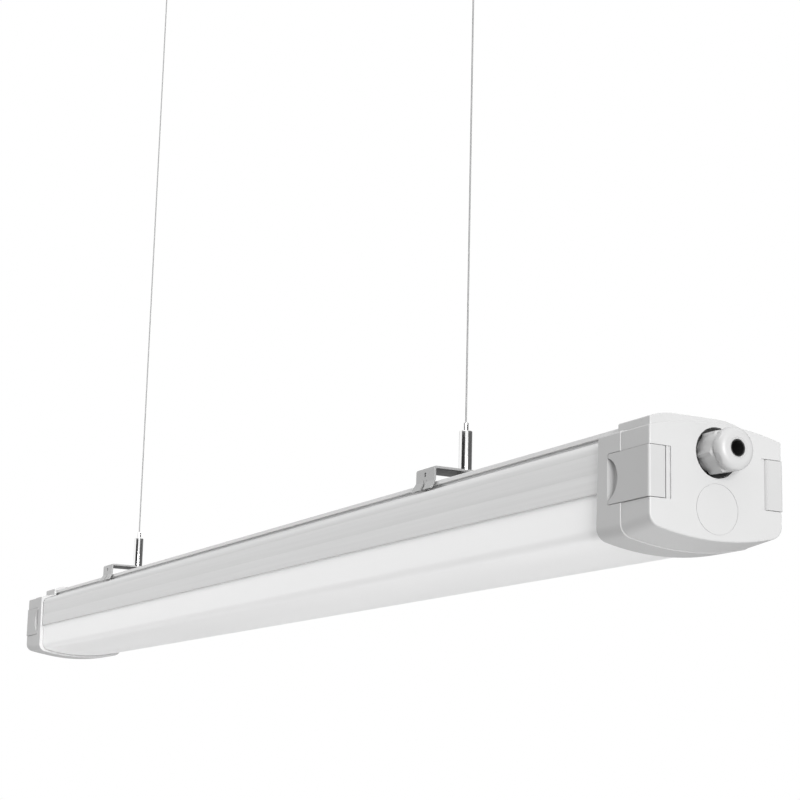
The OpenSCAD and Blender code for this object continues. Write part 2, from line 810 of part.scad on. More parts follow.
// The brackets
module bracket() {
    top = bracket_h;
    color("silver") difference() {
        union() {
            both_sides() {
                along_x(-bracket_w / 2, bracket_w / 2) polygon([[0, top - bracket_t], [leg_in, top - bracket_t],
                    [leg_in, foot_top], [leg_in + foot_flare, foot_bottom],
                    [leg_out + foot_flare, foot_bottom], [leg_out, foot_top], [leg_out, top], [0, top]]);
            }
        }
        both_sides() slab(-window_w / 2, window_w / 2, leg_in - over, leg_out + foot_flare + over,
                          foot_bottom - over, window_top);
        translate([0, 0, top - bracket_t - over]) cylinder(r = stud_d / 2 + seat_gap, h = bracket_t + 2 * over);
        translate([0, -leg_out - over, leg_hole_z]) rotate([-90, 0, 0])
            cylinder(r = leg_hole_r, h = 2 * (leg_out + over));
    }
    color("silver") both_sides() along_x(-tongue_w / 2, tongue_w / 2)
        polygon([[leg_in - tongue_reach, tongue_top], [leg_in, tongue_top], [leg_in, window_top + over],
                 [leg_out, window_top + over], [leg_out, tongue_top - bracket_t],
                 [leg_in - tongue_reach, tongue_top - bracket_t]]);
}

module near_bracket() { on_near_wire() bracket(); }
module far_bracket() { on_far_wire() bracket(); }

// The grippers
module on_bracket() { translate([0, 0, bracket_h]) children(); }

module gripper() {
    color("silver") on_bracket() difference() {
        union() {
            cylinder(r = gripper_d / 2, h = gripper_h);
            translate([0, 0, -stud_l]) cylinder(r = stud_d / 2, h = stud_l);
        }
        translate([0, 0, -stud_l - over]) cylinder(r = stud_bore_r, h = stud_l + chamber_bottom + 2 * over);
        translate([0, 0, chamber_bottom]) cylinder(r = chamber_r, h = cone_bottom - chamber_bottom);
        translate([0, 0, cone_bottom]) cylinder(r1 = chamber_r, r2 = cone_top_r, h = cone_top - cone_bottom);
        translate([0, 0, cone_top - over]) cylinder(r = plunger_r + run_gap, h = gripper_h - cone_top + 2 * over);
    }
}

module gripper_nut() {
    color("silver") on_bracket() translate([0, 0, -bracket_t - nut_h]) difference() {
        cylinder(r = nut_af / sqrt(3), h = nut_h, $fn = 6);
        translate([0, 0, -over]) cylinder(r = stud_d / 2 + seat_gap, h = nut_h + 2 * over);
    }
}

module plunger() {
    color("silver") on_bracket() translate([0, 0, plunger_foot]) difference() {
        cylinder(r = plunger_r, h = gripper_h + plunger_out - plunger_foot);
        translate([0, 0, -over]) cylinder(r = plunger_bore_r, h = gripper_h + plunger_out - plunger_foot + 2 * over);
    }
}

module gripper_balls() {
    color("gray") on_bracket() {
        for (i = [0 : ball_count - 1]) rotate([0, 0, 360 * i / ball_count])
            translate([wire_d / 2 + ball_gap + ball_r, 0, ball_z]) sphere(r = ball_r);
        translate([0, 0, spring_seat_z - spring_seat_t]) difference() {
            cylinder(r = spring_seat_r, h = spring_seat_t);
            translate([0, 0, -over]) cylinder(r = plunger_bore_r, h = spring_seat_t + 2 * over);
        }
    }
}

module gripper_spring() {
    low = spring_bottom + spring_wire_r;
    high = spring_seat_z - spring_seat_t - spring_wire_r;
    n = spring_turns * spring_steps;
    route = [for (i = [0 : n]) [spring_coil_r * cos(360 * i / spring_steps),
        spring_coil_r * sin(360 * i / spring_steps), low + (high - low) * i / n]];
    color("silver") on_bracket() tube(route, spring_wire_r, spring_sides);
}

module near_gripper() { on_near_wire() gripper(); }
module far_gripper() { on_far_wire() gripper(); }
module near_gripper_nut() { on_near_wire() gripper_nut(); }
module far_gripper_nut() { on_far_wire() gripper_nut(); }
module near_plunger() { on_near_wire() plunger(); }
module far_plunger() { on_far_wire() plunger(); }
module near_gripper_balls() { on_near_wire() gripper_balls(); }
module far_gripper_balls() { on_far_wire() gripper_balls(); }
module near_gripper_spring() { on_near_wire() gripper_spring(); }
module far_gripper_spring() { on_far_wire() gripper_spring(); }

// The wires and what holds them at the ceiling
module wire() {
    color("gray") tube([for (i = [0 : wire_n]) [0, 0, wire_foot + (wire_top - wire_foot) * i / wire_n]],
                       wire_d / 2, wire_sides);
}

module wire_barrel() {
    color("silver") translate([0, 0, wire_top]) cylinder(r = wire_barrel_r, h = wire_barrel_h);
}

module ceiling_cap() {
    h = ceiling_h - base_flange - cap_gap;
    color("silver") translate([0, 0, drop - ceiling_h]) difference() {
        cylinder(r = ceiling_d / 2, h = h);
        translate([0, 0, cap_floor]) cylinder(r = base_spigot_r + run_gap, h = h);
        translate([0, 0, -over]) cylinder(r = cap_hole_r, h = cap_floor + 2 * over);
    }
}

module ceiling_base() {
    color("silver") translate([0, 0, drop]) difference() {
        union() {
            translate([0, 0, -base_flange]) cylinder(r = ceiling_d / 2, h = base_flange);
            translate([0, 0, -base_spigot_to]) cylinder(r = base_spigot_r, h = base_spigot_to);
        }
        translate([0, 0, -base_spigot_to - over]) cylinder(r = screw_hole_d / 2, h = base_spigot_to + 2 * over);
        translate([0, 0, -base_spigot_to - over]) cylinder(r = base_head_r, h = base_spigot_to - base_floor + over);
    }
}

module near_wire() { on_near_wire() wire(); }
module far_wire() { on_far_wire() wire(); }
module near_wire_barrel() { on_near_wire() wire_barrel(); }
module far_wire_barrel() { on_far_wire() wire_barrel(); }
module near_ceiling_cap() { on_near_wire() ceiling_cap(); }
module far_ceiling_cap() { on_far_wire() ceiling_cap(); }
module near_ceiling_base() { on_near_wire() ceiling_base(); }
module far_ceiling_base() { on_far_wire() ceiling_base(); }

housing();
diffuser();
diffuser_seals();
near_collar();
far_collar();
near_cover();
far_cover();
near_housing_seal();
far_housing_seal();
near_cover_seal();
far_cover_seal();
collar_screws();
near_front_latch();
near_back_latch();
far_front_latch();
far_back_latch();
latch_pins();
gland_body();
gland_washer();
gland_lock_nut();
gland_claws();
gland_insert();
gland_nut();
gear_tray();
led_boards();
led_chips();
driver();
terminal_block();
driver_leads();
led_leads();
near_bracket();
far_bracket();
near_gripper();
far_gripper();
near_gripper_nut();
far_gripper_nut();
near_plunger();
far_plunger();
near_gripper_balls();
far_gripper_balls();
near_gripper_spring();
far_gripper_spring();
near_wire();
far_wire();
near_wire_barrel();
far_wire_barrel();
near_ceiling_cap();
far_ceiling_cap();
near_ceiling_base();
far_ceiling_base();
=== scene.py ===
import math

import bmesh
import bpy
import numpy as np
from mathutils import Matrix, Vector


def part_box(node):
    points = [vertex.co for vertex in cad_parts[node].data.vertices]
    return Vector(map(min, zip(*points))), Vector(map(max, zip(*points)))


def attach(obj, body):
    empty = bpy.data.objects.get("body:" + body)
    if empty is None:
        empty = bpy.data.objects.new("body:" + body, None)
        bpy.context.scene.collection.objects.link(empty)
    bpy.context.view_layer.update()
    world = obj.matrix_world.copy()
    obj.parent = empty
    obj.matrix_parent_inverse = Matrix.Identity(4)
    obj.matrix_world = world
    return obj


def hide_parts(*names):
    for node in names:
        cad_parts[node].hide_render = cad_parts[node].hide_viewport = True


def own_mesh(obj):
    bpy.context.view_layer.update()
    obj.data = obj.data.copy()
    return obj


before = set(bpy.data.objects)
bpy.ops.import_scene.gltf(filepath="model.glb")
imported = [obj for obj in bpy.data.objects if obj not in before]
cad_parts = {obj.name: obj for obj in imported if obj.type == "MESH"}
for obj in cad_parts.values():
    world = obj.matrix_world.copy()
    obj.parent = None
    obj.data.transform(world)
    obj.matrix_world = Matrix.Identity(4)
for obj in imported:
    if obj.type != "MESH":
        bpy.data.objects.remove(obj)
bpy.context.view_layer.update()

# The camera
# A long lens looks up a little along the fixture from below its near end. The picture's centre is
# moved up by the lens shift, as the photograph's edges show.
MM = 0.001
CAMERA_AT = (1.4198, -0.6278, -0.9091)
yaw, pitch, roll = math.radians(61.94), math.radians(-10.56), math.radians(1.39)
back = Vector((math.sin(yaw) * math.cos(pitch), -math.cos(yaw) * math.cos(pitch), math.sin(pitch)))
level_right = Vector((math.cos(yaw), math.sin(yaw), 0.0))
level_up = back.cross(level_right)
right = math.cos(roll) * level_right + math.sin(roll) * level_up
up = math.cos(roll) * level_up - math.sin(roll) * level_right
lens = bpy.data.cameras.new("camera")
lens.sensor_width = 36.0
lens.lens = 79.2
lens.shift_y = 0.08
lens.clip_end = 50.0
camera = bpy.data.objects.new("camera", lens)
camera.matrix_world = Matrix.Translation(CAMERA_AT) @ Matrix((right, up, back)).transposed().to_4x4()
bpy.context.scene.collection.objects.link(camera)
bpy.context.scene.camera = camera
bpy.context.scene.view_settings.view_transform = "Standard"

# The suspension wires
# Two taut stranded steel wires, 1.2 mm thick. Each comes up out of its gripper's plunger and ends in
# a crimped barrel inside its ceiling fitting, just above the picture.
RAIL_Z = -693.0
NEAR_WIRE_X, FAR_WIRE_X = 342.0, -342.0
WIRE_R = 0.6
WIRE_FOOT, WIRE_TOP = 11.9, 664.0


def new_piece(name, points, faces, body, slot_name, replaced=(), sharp=32.0):
    """A piece from points in millimetres and faces, each a row of point numbers. Edges sharper than
    an angle stay sharp, and the others shade smooth."""
    mesh = bpy.data.meshes.new(name)
    mesh.from_pydata((np.asarray(points, float) * MM).tolist(), [], [list(map(int, f)) for f in faces])
    mesh.validate()
    piece = bpy.data.objects.new(name, mesh)
    bpy.context.scene.collection.objects.link(piece)
    mesh.shade_smooth()
    mesh.set_sharp_from_angle(angle=math.radians(sharp))
    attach(piece, body)
    if replaced:
        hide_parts(*replaced)
    return piece


def whole_turn(steps):
    """Angles of one whole turn in equal steps."""
    return np.linspace(0.0, 2.0 * np.pi, steps, endpoint=False)


def grid_faces(rows, columns, closed=True):
    """Quads between neighbouring rows of a grid whose columns go round."""
    i, j = np.meshgrid(np.arange(rows - 1), np.arange(columns if closed else columns - 1), indexing="ij")
    k = (j + 1) % columns
    quads = np.stack([i * columns + j, i * columns + k, (i + 1) * columns + k, (i + 1) * columns + j], -1)
    return quads.reshape(-1, 4).tolist()


def capped_grid(grid):
    """Points and faces of a closed skin: rings of points, one after another, and a flat face at each end."""
    rows, columns = grid.shape[:2]
    ends = [list(range(columns - 1, -1, -1)), list(range((rows - 1) * columns, rows * columns))]
    return grid.reshape(-1, 3), grid_faces(rows, columns) + ends


def node_material(name, colour, roughness, metallic=0.0):
    """A surface with its colour and gloss on the shader's own sockets, and its parts to add to."""
    material = bpy.data.materials.new(name)
    material.use_nodes = True
    nodes, links = material.node_tree.nodes, material.node_tree.links
    shader = nodes["Principled BSDF"]
    shader.inputs["Base Color"].default_value = (*colour, 1.0)
    shader.inputs["Roughness"].default_value = roughness
    shader.inputs["Metallic"].default_value = metallic
    place = nodes.new("ShaderNodeTexCoord")
    return material, nodes, links, shader, place


def noise(nodes, links, place, scale, detail=3.0, stretch=(1.0, 1.0, 1.0)):
    """A noise that follows the object, stretched along an axis by a small scale there."""
    mapping = nodes.new("ShaderNodeMapping")
    mapping.inputs["Scale"].default_value = stretch
    texture = nodes.new("ShaderNodeTexNoise")
    texture.inputs["Scale"].default_value = scale
    texture.inputs["Detail"].default_value = detail
    links.new(place.outputs["Object"], mapping.inputs["Vector"])
    links.new(mapping.outputs["Vector"], texture.inputs["Vector"])
    return texture


NOISE_LOW, NOISE_HIGH = 0.3, 0.7


def vary(nodes, links, texture, socket, low, high):
    """Carries a noise to a shader's socket between two values."""
    spread = nodes.new("ShaderNodeMapRange")
    spread.inputs["From Min"].default_value = NOISE_LOW
    spread.inputs["From Max"].default_value = NOISE_HIGH
    spread.inputs["To Min"].default_value = low
    spread.inputs["To Max"].default_value = high
    links.new(texture.outputs["Fac"], spread.inputs["Value"])
    links.new(spread.outputs["Result"], socket)


def tint(nodes, links, texture, shader, dark, light):
    """Mixes two close colours by a noise."""
    ramp = nodes.new("ShaderNodeValToRGB")
    ramp.color_ramp.elements[0].position = NOISE_LOW
    ramp.color_ramp.elements[1].position = NOISE_HIGH
    ramp.color_ramp.elements[0].color = (*dark, 1.0)
    ramp.color_ramp.elements[1].color = (*light, 1.0)
    links.new(texture.outputs["Fac"], ramp.inputs["Fac"])
    links.new(ramp.outputs["Color"], shader.inputs["Base Color"])


def relief(nodes, links, texture, shader, height):
    """Raises the surface by a noise, by a height in metres."""
    bump = nodes.new("ShaderNodeBump")
    bump.inputs["Distance"].default_value = height
    bump.inputs["Strength"].default_value = 1.0
    links.new(texture.outputs["Fac"], bump.inputs["Height"])
    links.new(bump.outputs["Normal"], shader.inputs["Normal"])


def grey(value):
    """A colour with the same red, green and blue."""
    return (value, value, value)


def paint(piece, *materials):
    """Gives a piece these materials in place of any that it has."""
    piece.data.materials.clear()
    for material in materials:
        piece.data.materials.append(material)


wire_steel, nodes, links, shader, place = node_material("stranded steel", grey(0.26), 0.5, 0.5)
lay_marks = noise(nodes, links, place, 900.0, 1.0, (1.0, 1.0, 0.6))
tint(nodes, links, lay_marks, shader, grey(0.25), grey(0.27))
vary(nodes, links, lay_marks, shader.inputs["Roughness"], 0.45, 0.55)

turn = whole_turn(12)
for end, x in (("near", NEAR_WIRE_X), ("far", FAR_WIRE_X)):
    heights = RAIL_Z + np.linspace(WIRE_FOOT, WIRE_TOP, 31)
    ring = np.stack([x + WIRE_R * np.cos(turn), WIRE_R * np.sin(turn), 0.0 * turn], -1)
    tube = ring[None] + heights[:, None, None] * np.array([0.0, 0.0, 1.0])
    wire = new_piece(end + "_suspension_wire", *capped_grid(tube), "suspension", "wire_steel",
                     [end + "_wire"])
    paint(wire, wire_steel)

# The ceiling fittings
# Each is a turned, nickel plated cup that screws up onto a base fixed to the ceiling, and holds the
# barrel crimped on the wire's end.
CEILING_R = 10.0
CUP_BOTTOM, CUP_TOP = -31.0, -5.3
CUP_FLOOR, CUP_BORE_R, CUP_HOLE_R = 2.0, 8.05, 0.9
CUP_ROUND, CUP_EDGE, LINE_LOW, LINE_HIGH, LINE_DEEP = 2.0, 0.4, 7.0, 5.6, 0.5


def lathe(profile, centre, steps=64):
    """Turns a closed profile of [radius, height] points round an upright line."""
    profile = np.asarray(profile, float)
    a = whole_turn(steps)
    grid = np.stack(
        [
            centre[0] + profile[:, None, 0] * np.cos(a),
            centre[1] + profile[:, None, 0] * np.sin(a),
            centre[2] + profile[:, None, 1] + 0.0 * a,
        ],
        -1,
    )
    return np.concatenate([grid, grid[:1]])


def turned(grid):
    """Points and faces of a turned ring whose profile comes back to its start."""
    rows, columns = grid.shape[0] - 1, grid.shape[1]
    faces = np.array(grid_faces(rows + 1, columns)) % (rows * columns)
    return grid[:-1].reshape(-1, 3), faces[:, ::-1].tolist()


nickel, nodes, links, shader, place = node_material("turned nickel", grey(0.93), 0.12, 1.0)
tool_marks = noise(nodes, links, place, 60.0, 4.0, (1.0, 1.0, 60.0))
vary(nodes, links, tool_marks, shader.inputs["Roughness"], 0.08, 0.16)
relief(nodes, links, tool_marks, shader, 0.00002)

for end, x in (("near", NEAR_WIRE_X), ("far", FAR_WIRE_X)):
    cup = [
        (CUP_HOLE_R, CUP_BOTTOM), (CEILING_R - CUP_ROUND, CUP_BOTTOM),
        (CEILING_R - 0.3 * CUP_ROUND, CUP_BOTTOM + 0.25 * CUP_ROUND), (CEILING_R, CUP_BOTTOM + CUP_ROUND),
        (CEILING_R, CUP_TOP - LINE_LOW), (CEILING_R - LINE_DEEP, CUP_TOP - LINE_LOW + CUP_EDGE),
        (CEILING_R - LINE_DEEP, CUP_TOP - LINE_HIGH - CUP_EDGE), (CEILING_R, CUP_TOP - LINE_HIGH),
        (CEILING_R, CUP_TOP - CUP_EDGE), (CEILING_R - CUP_EDGE, CUP_TOP), (CUP_BORE_R, CUP_TOP),
        (CUP_BORE_R, CUP_BOTTOM + CUP_FLOOR), (CUP_HOLE_R, CUP_BOTTOM + CUP_FLOOR),
    ]
    cap = new_piece(end + "_ceiling_cup", *turned(lathe(cup, (x, 0.0, 0.0))), "suspension", "gripper_nickel",
                    [end + "_ceiling_cap"])
    paint(cap, nickel)
    for node in (end + "_ceiling_base", end + "_wire_barrel"):
        paint(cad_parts[node], nickel)

# The housing
# One long extrusion, satin and faintly drawn lengthwise: the rail on top with a groove under each
# lip, sloping shoulders, and side walls that overhang the diffuser.
NEAR_END, FAR_END = 629.0, -571.0
HOUSING_IN = 42.6
WALL_Y, WALL_H, WALL_T = 45.5, 40.9, 1.6
RAIL_Y, LIP_T, GROOVE_H, GROOVE_D = 30.9, 3.1, 2.4, 2.4
SHOULDER_R, SHOULDER_TURN, WALL_TOP = 6.0, 55.0, 15.2
DIFFUSER_Y, DIFFUSER_T, DIFFUSER_BOTTOM = 44.0, 2.0, 71.9
SHELF_Z, SHELF_T, LEG_Y, LEG_T = 31.0, 1.5, 40.1, 1.5
HOOK_Y, HOOK_Z, HOOK_T = 41.4, 36.5, 1.5
RAIL_T, RAIL_EDGE, LIP_EDGE, GROOVE_EDGE, WALL_EDGE = 1.8, 0.4, 0.3, 0.1, 0.6
UPPER_LINE, LOWER_LINE, LINE_WIDE, LINE_FLAT, LINE_IN = 17.0, 28.7, 0.35, 0.1, 0.06
GAP, TIGHT = 0.3, 0.05


def arc(y, z, r, start, stop, steps):
    """Points of an arc round a centre, from one angle in degrees to another."""
    a = np.radians(np.linspace(start, stop, steps + 1))
    return np.stack([y + r * np.cos(a), z + r * np.sin(a)], -1)


def trough(y, bottom, crown, corner, steps=18):
    """Half an outline from the middle of a crowned bottom, round a corner, to where the side starts."""
    centre_z, corner_y = crown - bottom, y - corner
    corner_z = centre_z - math.sqrt((crown - corner) ** 2 - corner_y**2)
    tangent = math.degrees(math.atan2(corner_z - centre_z, corner_y))
    floor = arc(0.0, centre_z, crown, -90.0, tangent, steps)[1:]
    return np.concatenate([floor, arc(corner_y, corner_z, corner, tangent, 0.0, 10)[1:]])


def mirrored(half):
    """A whole outline from its half on the +y side."""
    return np.concatenate([half, half[::-1] * [-1.0, 1.0]])


def wall_line(z):
    """A fine groove along the wall at a depth below the rail."""
    return [[WALL_Y, -z - LINE_WIDE], [WALL_Y - LINE_IN, -z - LINE_FLAT], [WALL_Y - LINE_IN, -z + LINE_FLAT],
            [WALL_Y, -z + LINE_WIDE]]


def along(outline, stations):
    """Carries an outline of [y, z] points along x, with z counted from the rail's top."""
    outline, stations = np.asarray(outline, float), np.asarray(stations, float)
    grid = np.empty((len(stations), len(outline), 3))
    grid[..., 0] = stations[:, None]
    grid[..., 1] = outline[:, 0]
    grid[..., 2] = outline[:, 1] + RAIL_Z
    return grid


outer = np.concatenate([
    [[WALL_Y - WALL_EDGE, -WALL_H], [WALL_Y - 0.75 * WALL_EDGE, -WALL_H + TIGHT],
     [WALL_Y, -WALL_H + WALL_EDGE]],
    wall_line(LOWER_LINE), wall_line(UPPER_LINE),
    arc(WALL_Y - SHOULDER_R, -WALL_TOP, SHOULDER_R, 0.0, SHOULDER_TURN, 10),
    [[RAIL_Y + LIP_EDGE, -LIP_T - GROOVE_H - GROOVE_EDGE], [RAIL_Y - 2 * GROOVE_EDGE, -LIP_T - GROOVE_H],
     [RAIL_Y - GROOVE_D, -LIP_T - GROOVE_H], [RAIL_Y - GROOVE_D, -LIP_T], [RAIL_Y - LIP_EDGE, -LIP_T],
     [RAIL_Y, -LIP_T + LIP_EDGE], [RAIL_Y, -RAIL_EDGE], [RAIL_Y - RAIL_EDGE, 0.0]],
])
inner = np.concatenate([
    [[DIFFUSER_Y + TIGHT, -WALL_H], [DIFFUSER_Y + TIGHT, -SHELF_Z - SHELF_T], [LEG_Y, -SHELF_Z - SHELF_T],
     [LEG_Y, -HOOK_Z], [HOOK_Y, -HOOK_Z], [HOOK_Y, -HOOK_Z - HOOK_T], [LEG_Y - LEG_T, -HOOK_Z - HOOK_T],
     [LEG_Y - LEG_T, -SHELF_Z], [WALL_Y - WALL_T, -SHELF_Z]],
    arc(WALL_Y - SHOULDER_R, -WALL_TOP, SHOULDER_R - WALL_T, 0.0, SHOULDER_TURN, 10),
    [[RAIL_Y, -LIP_T - GROOVE_H - 1.25 * WALL_T],
     [RAIL_Y - GROOVE_D - WALL_T, -LIP_T - GROOVE_H - 1.25 * WALL_T], [RAIL_Y - GROOVE_D - WALL_T, -RAIL_T]],
])
profile = np.concatenate([outer, outer[::-1] * [-1, 1], inner * [-1, 1], inner[::-1]])
housing_ends = [FAR_END + HOUSING_IN, NEAR_END - HOUSING_IN]
housing = new_piece("drawn_housing", *capped_grid(along(profile[::-1], np.linspace(*housing_ends, 12))),
                    "fixture", "housing_aluminium", ["housing"])

satin, nodes, links, shader, place = node_material("satin drawn aluminium", grey(0.62), 0.42, 0.35)
drawn = noise(nodes, links, place, 420.0, 5.0, (0.012, 1.0, 1.0))
vary(nodes, links, drawn, shader.inputs["Roughness"], 0.36, 0.48)
tint(nodes, links, drawn, shader, grey(0.60), grey(0.65))
relief(nodes, links, drawn, shader, 0.00003)
paint(housing, satin)

# The diffuser
# A long trough of opal plastic, a little glossy, hung in the housing on the flanges along its rims.
FLANGE_Y, RIM_Z, FLANGE_TOP = 40.4, 33.3, 34.7
CROWN_R, DIFFUSER_CORNER_R = 180.0, 7.0
skin = np.concatenate([trough(DIFFUSER_Y, DIFFUSER_BOTTOM, CROWN_R, DIFFUSER_CORNER_R, 30),
                       [[DIFFUSER_Y, -RIM_Z], [DIFFUSER_Y - DIFFUSER_T, -RIM_Z]]])
lining = np.concatenate([
    trough(DIFFUSER_Y - DIFFUSER_T, DIFFUSER_BOTTOM - DIFFUSER_T, CROWN_R - DIFFUSER_T,
           DIFFUSER_CORNER_R - DIFFUSER_T, 30),
    [[DIFFUSER_Y - DIFFUSER_T, -HOOK_Z], [FLANGE_Y, -HOOK_Z], [FLANGE_Y, -FLANGE_TOP],
     [DIFFUSER_Y - DIFFUSER_T, -FLANGE_TOP]],
])
trough_wall = np.concatenate([skin, lining[::-1], lining * [-1, 1], skin[::-1] * [-1, 1]])
diffuser = new_piece("opal_diffuser", *capped_grid(along(trough_wall[::-1], np.linspace(*housing_ends, 12))),
                     "fixture", "opal_diffuser", ["diffuser"], sharp=28.0)
opal, nodes, links, shader, place = node_material("opal plastic", grey(0.94), 0.35)
shader.inputs["Subsurface Weight"].default_value = 0.25
shader.inputs["Subsurface Radius"].default_value = (1.0, 1.0, 1.0)
shader.inputs["Subsurface Scale"].default_value = 0.008
flow = noise(nodes, links, place, 90.0, 2.0, (0.03, 1.0, 1.0))
vary(nodes, links, flow, shader.inputs["Roughness"], 0.32, 0.38)
tint(nodes, links, flow, shader, grey(0.935), grey(0.945))
paint(diffuser, opal)

# The collars and covers
# Each end has two satin grey mouldings: a collar fixed on the housing, and a cover closed on it by two
# latches. A hood on both runs over the rail's end. The near cover has the cable entry.
CAP_Y, CAP_BOTTOM, CAP_LEN = 48.0, 74.7, 50.0
CAP_CORNER_R, ARCH_R, ARCH_TOP = 8.5, 190.0, 2.0
SPLIT_AT, SPLIT_GAP, COVER_RISE = 27.0, 0.1, 3.0
FILLET, SPLIT_STEP, SPLIT_CHAMFER, RIM_EDGE, BACK_EDGE = 1.0, 0.45, 0.8, 0.5, 0.1
APRON_FROM, APRON_LEN, BODY_PLAY, HOLLOW_END = 1.5, 2.0, 1.5, 15.5
HOOD_Y, HOOD_TOP, HOOD_EAVE, HOOD_FLAT, HOOD_FRONT = 33.5, 5.0, 1.5, 16.3, 18.7
HOOD_FOOT, HOOD_EDGE, HOOD_ROUND, HOOD_ARCH = 12.0, 0.6, 0.8, 0.97
TOP_CORNER_R = 1.5
LATCH_H, LATCH_Z, LATCH_LEN, LATCH_T = 29.9, 34.85, 39.6, 3.0
LATCH_Y, LATCH_FRONT, PIN_INSET, SWEEP_R = 48.3, 0.4, 6.5, 8.2
SEAT_FROM, SEAT_DEEP = 32.6, 1.0
PIN_X, PIN_Y = LATCH_FRONT - PIN_INSET, LATCH_Y - PIN_INSET
NOTCH_R, NOTCH_X, NOTCH_DEPTH, RAMP_DEEP = 12.872, -42.872, 9.6, 4.6
GLAND_Z, RECESS_R, RECESS_D, THREAD_R = 20.0, 15.0, 4.0, 9.9
KNOCKOUT_Z, KNOCKOUT_R, KNOCKOUT_LINE = 52.9, 15.0, 0.3
OPEN_Y, OPEN_BOTTOM, OPEN_TOP, OPEN_EAR, OPEN_CORNER_R = 39.5, 66.0, 8.0, 16.0, 5.0
SEAT_LOW = -LATCH_Z - LATCH_H / 2 - GAP + RAIL_Z
SEAT_HIGH = LATCH_H / 2 - LATCH_Z + GAP + RAIL_Z
OUTSIDE_Y, OVER, BORE_STEPS = 50.0, 1.0, 96


def cap_outline(inset, bottom):
    """The cap's outline, moved inwards by inset: crowned bottom, round corners, flat sides, and a top
    arch whose ends are rounded into the sides. Their radius stays above the inset's."""
    y, low, arch = CAP_Y - inset, bottom - inset, ARCH_R - inset
    corner = TOP_CORNER_R - 0.999 * inset
    centre_z = -ARCH_TOP - ARCH_R
    corner_y = CAP_Y - TOP_CORNER_R
    corner_z = centre_z + math.sqrt((ARCH_R - TOP_CORNER_R) ** 2 - corner_y**2)
    meet = math.degrees(math.atan2(corner_z - centre_z, corner_y))
    half = np.concatenate([
        trough(y, low, CROWN_R - inset, CAP_CORNER_R - inset, 18),
        arc(corner_y, corner_z, corner, 0.0, meet, 8),
        arc(0.0, centre_z, arch, meet, 90.0, 18)[1:-1],
    ])
    return mirrored(half)


def shell(stations):
    """Skin through outlines, each given by its place along x, its inset and its bottom."""
    rings = [along(cap_outline(inset, bottom), [x])[0] for x, inset, bottom in stations]
    return np.array(rings)


def place_end(points, end, side=1.0):
    """Moves points drawn with x = 0 at an end face to the near or the far end, and to a side."""
    points = np.array(points, float) * [1.0, side, 1.0]
    if end == "near":
        return points + [NEAR_END, 0.0, 0.0]
    return points * [-1.0, 1.0, 1.0] + [FAR_END, 0.0, 0.0]


def solid(points, faces, end="near", side=1.0):
    """A loose solid for shaping another, with its faces outwards."""
    mesh = bpy.data.meshes.new("shaper")
    mesh.from_pydata((place_end(points, end, side) * MM).tolist(), [], [list(map(int, f)) for f in faces])
    shaper = bpy.data.objects.new("shaper", mesh)
    bpy.context.scene.collection.objects.link(shaper)
    outwards(mesh)
    return shaper


def outwards(mesh):
    """Turns all faces of a closed mesh outwards."""
    work = bmesh.new()
    work.from_mesh(mesh)
    bmesh.ops.recalc_face_normals(work, faces=work.faces)
    work.to_mesh(mesh)
    work.free()


def shape(piece, shapers, operation="DIFFERENCE"):
    """Cuts loose solids out of a piece, or joins them to it, and removes them."""
    for shaper in shapers:
        step = piece.modifiers.new("shape", "BOOLEAN")
        step.operation = operation
        step.solver = "EXACT"
        step.object = shaper
        bpy.context.view_layer.update()
        result = bpy.data.meshes.new_from_object(piece.evaluated_get(bpy.context.evaluated_depsgraph_get()))
        piece.modifiers.clear()
        piece.data = result
        bpy.data.objects.remove(shaper)
    return piece


def prism(outline, low, high, axis):
    """A closed prism on an outline of two coordinates. axis is the third, and low and high may differ
    from point to point."""
    outline = np.asarray(outline, float)
    low = np.broadcast_to(low, len(outline))
    high = np.broadcast_to(high, len(outline))
    others = [i for i in range(3) if i != axis]
    grid = np.empty((2, len(outline), 3))
    grid[:, :, others[0]], grid[:, :, others[1]] = outline[:, 0], outline[:, 1]
    grid[0, :, axis], grid[1, :, axis] = low, high
    return capped_grid(grid)


def box_outline(a0, a1, b0, b1):
    """A rectangle between two values of each coordinate."""
    return [(a0, b0), (a1, b0), (a1, b1), (a0, b1)]


def disc_outline(x, z, radius, steps):
    """A circle round a place in the upright plane along the fixture."""
    a = whole_turn(steps)
    return np.stack([x + radius * np.cos(a), z + radius * np.sin(a)], -1)


def hood(back_x, front_x, round_front):
    """The hood's skin: upright sides and a top that arches over to a flat middle, with a small round
    edge towards the end face."""
    rise, reach = HOOD_TOP - HOOD_EAVE, HOOD_Y - HOOD_FLAT
    top_r = (reach**2 + rise**2) / (2.0 * rise)
    lean = math.degrees(math.asin(reach / top_r))
    half = np.concatenate([
        [[HOOD_Y, -HOOD_FOOT], [HOOD_Y, HOOD_EAVE - HOOD_EDGE],
         [HOOD_Y - HOOD_EDGE / 4, HOOD_EAVE - HOOD_EDGE / 4]],
        arc(HOOD_FLAT, HOOD_TOP - top_r, top_r, 90.0 - lean * HOOD_ARCH, 90.0, 12),
    ])
    rings = [along(mirrored(half), [back_x])[0]]
    if round_front:
        for a in np.radians(np.linspace(0.0, 80.0, 7)):
            ring = along(mirrored(half), [front_x - HOOD_ROUND + HOOD_ROUND * math.sin(a)])[0]
            drop = HOOD_ROUND * (1.0 - math.cos(a))
            ring[:, 2] = np.where(ring[:, 2] > RAIL_Z - HOOD_FOOT + OVER, ring[:, 2] - drop, ring[:, 2])
            ring[:, 1] -= np.sign(ring[:, 1]) * drop
            rings.append(ring)
    else:
        rings.append(along(mirrored(half), [front_x])[0])
    return np.array(rings)


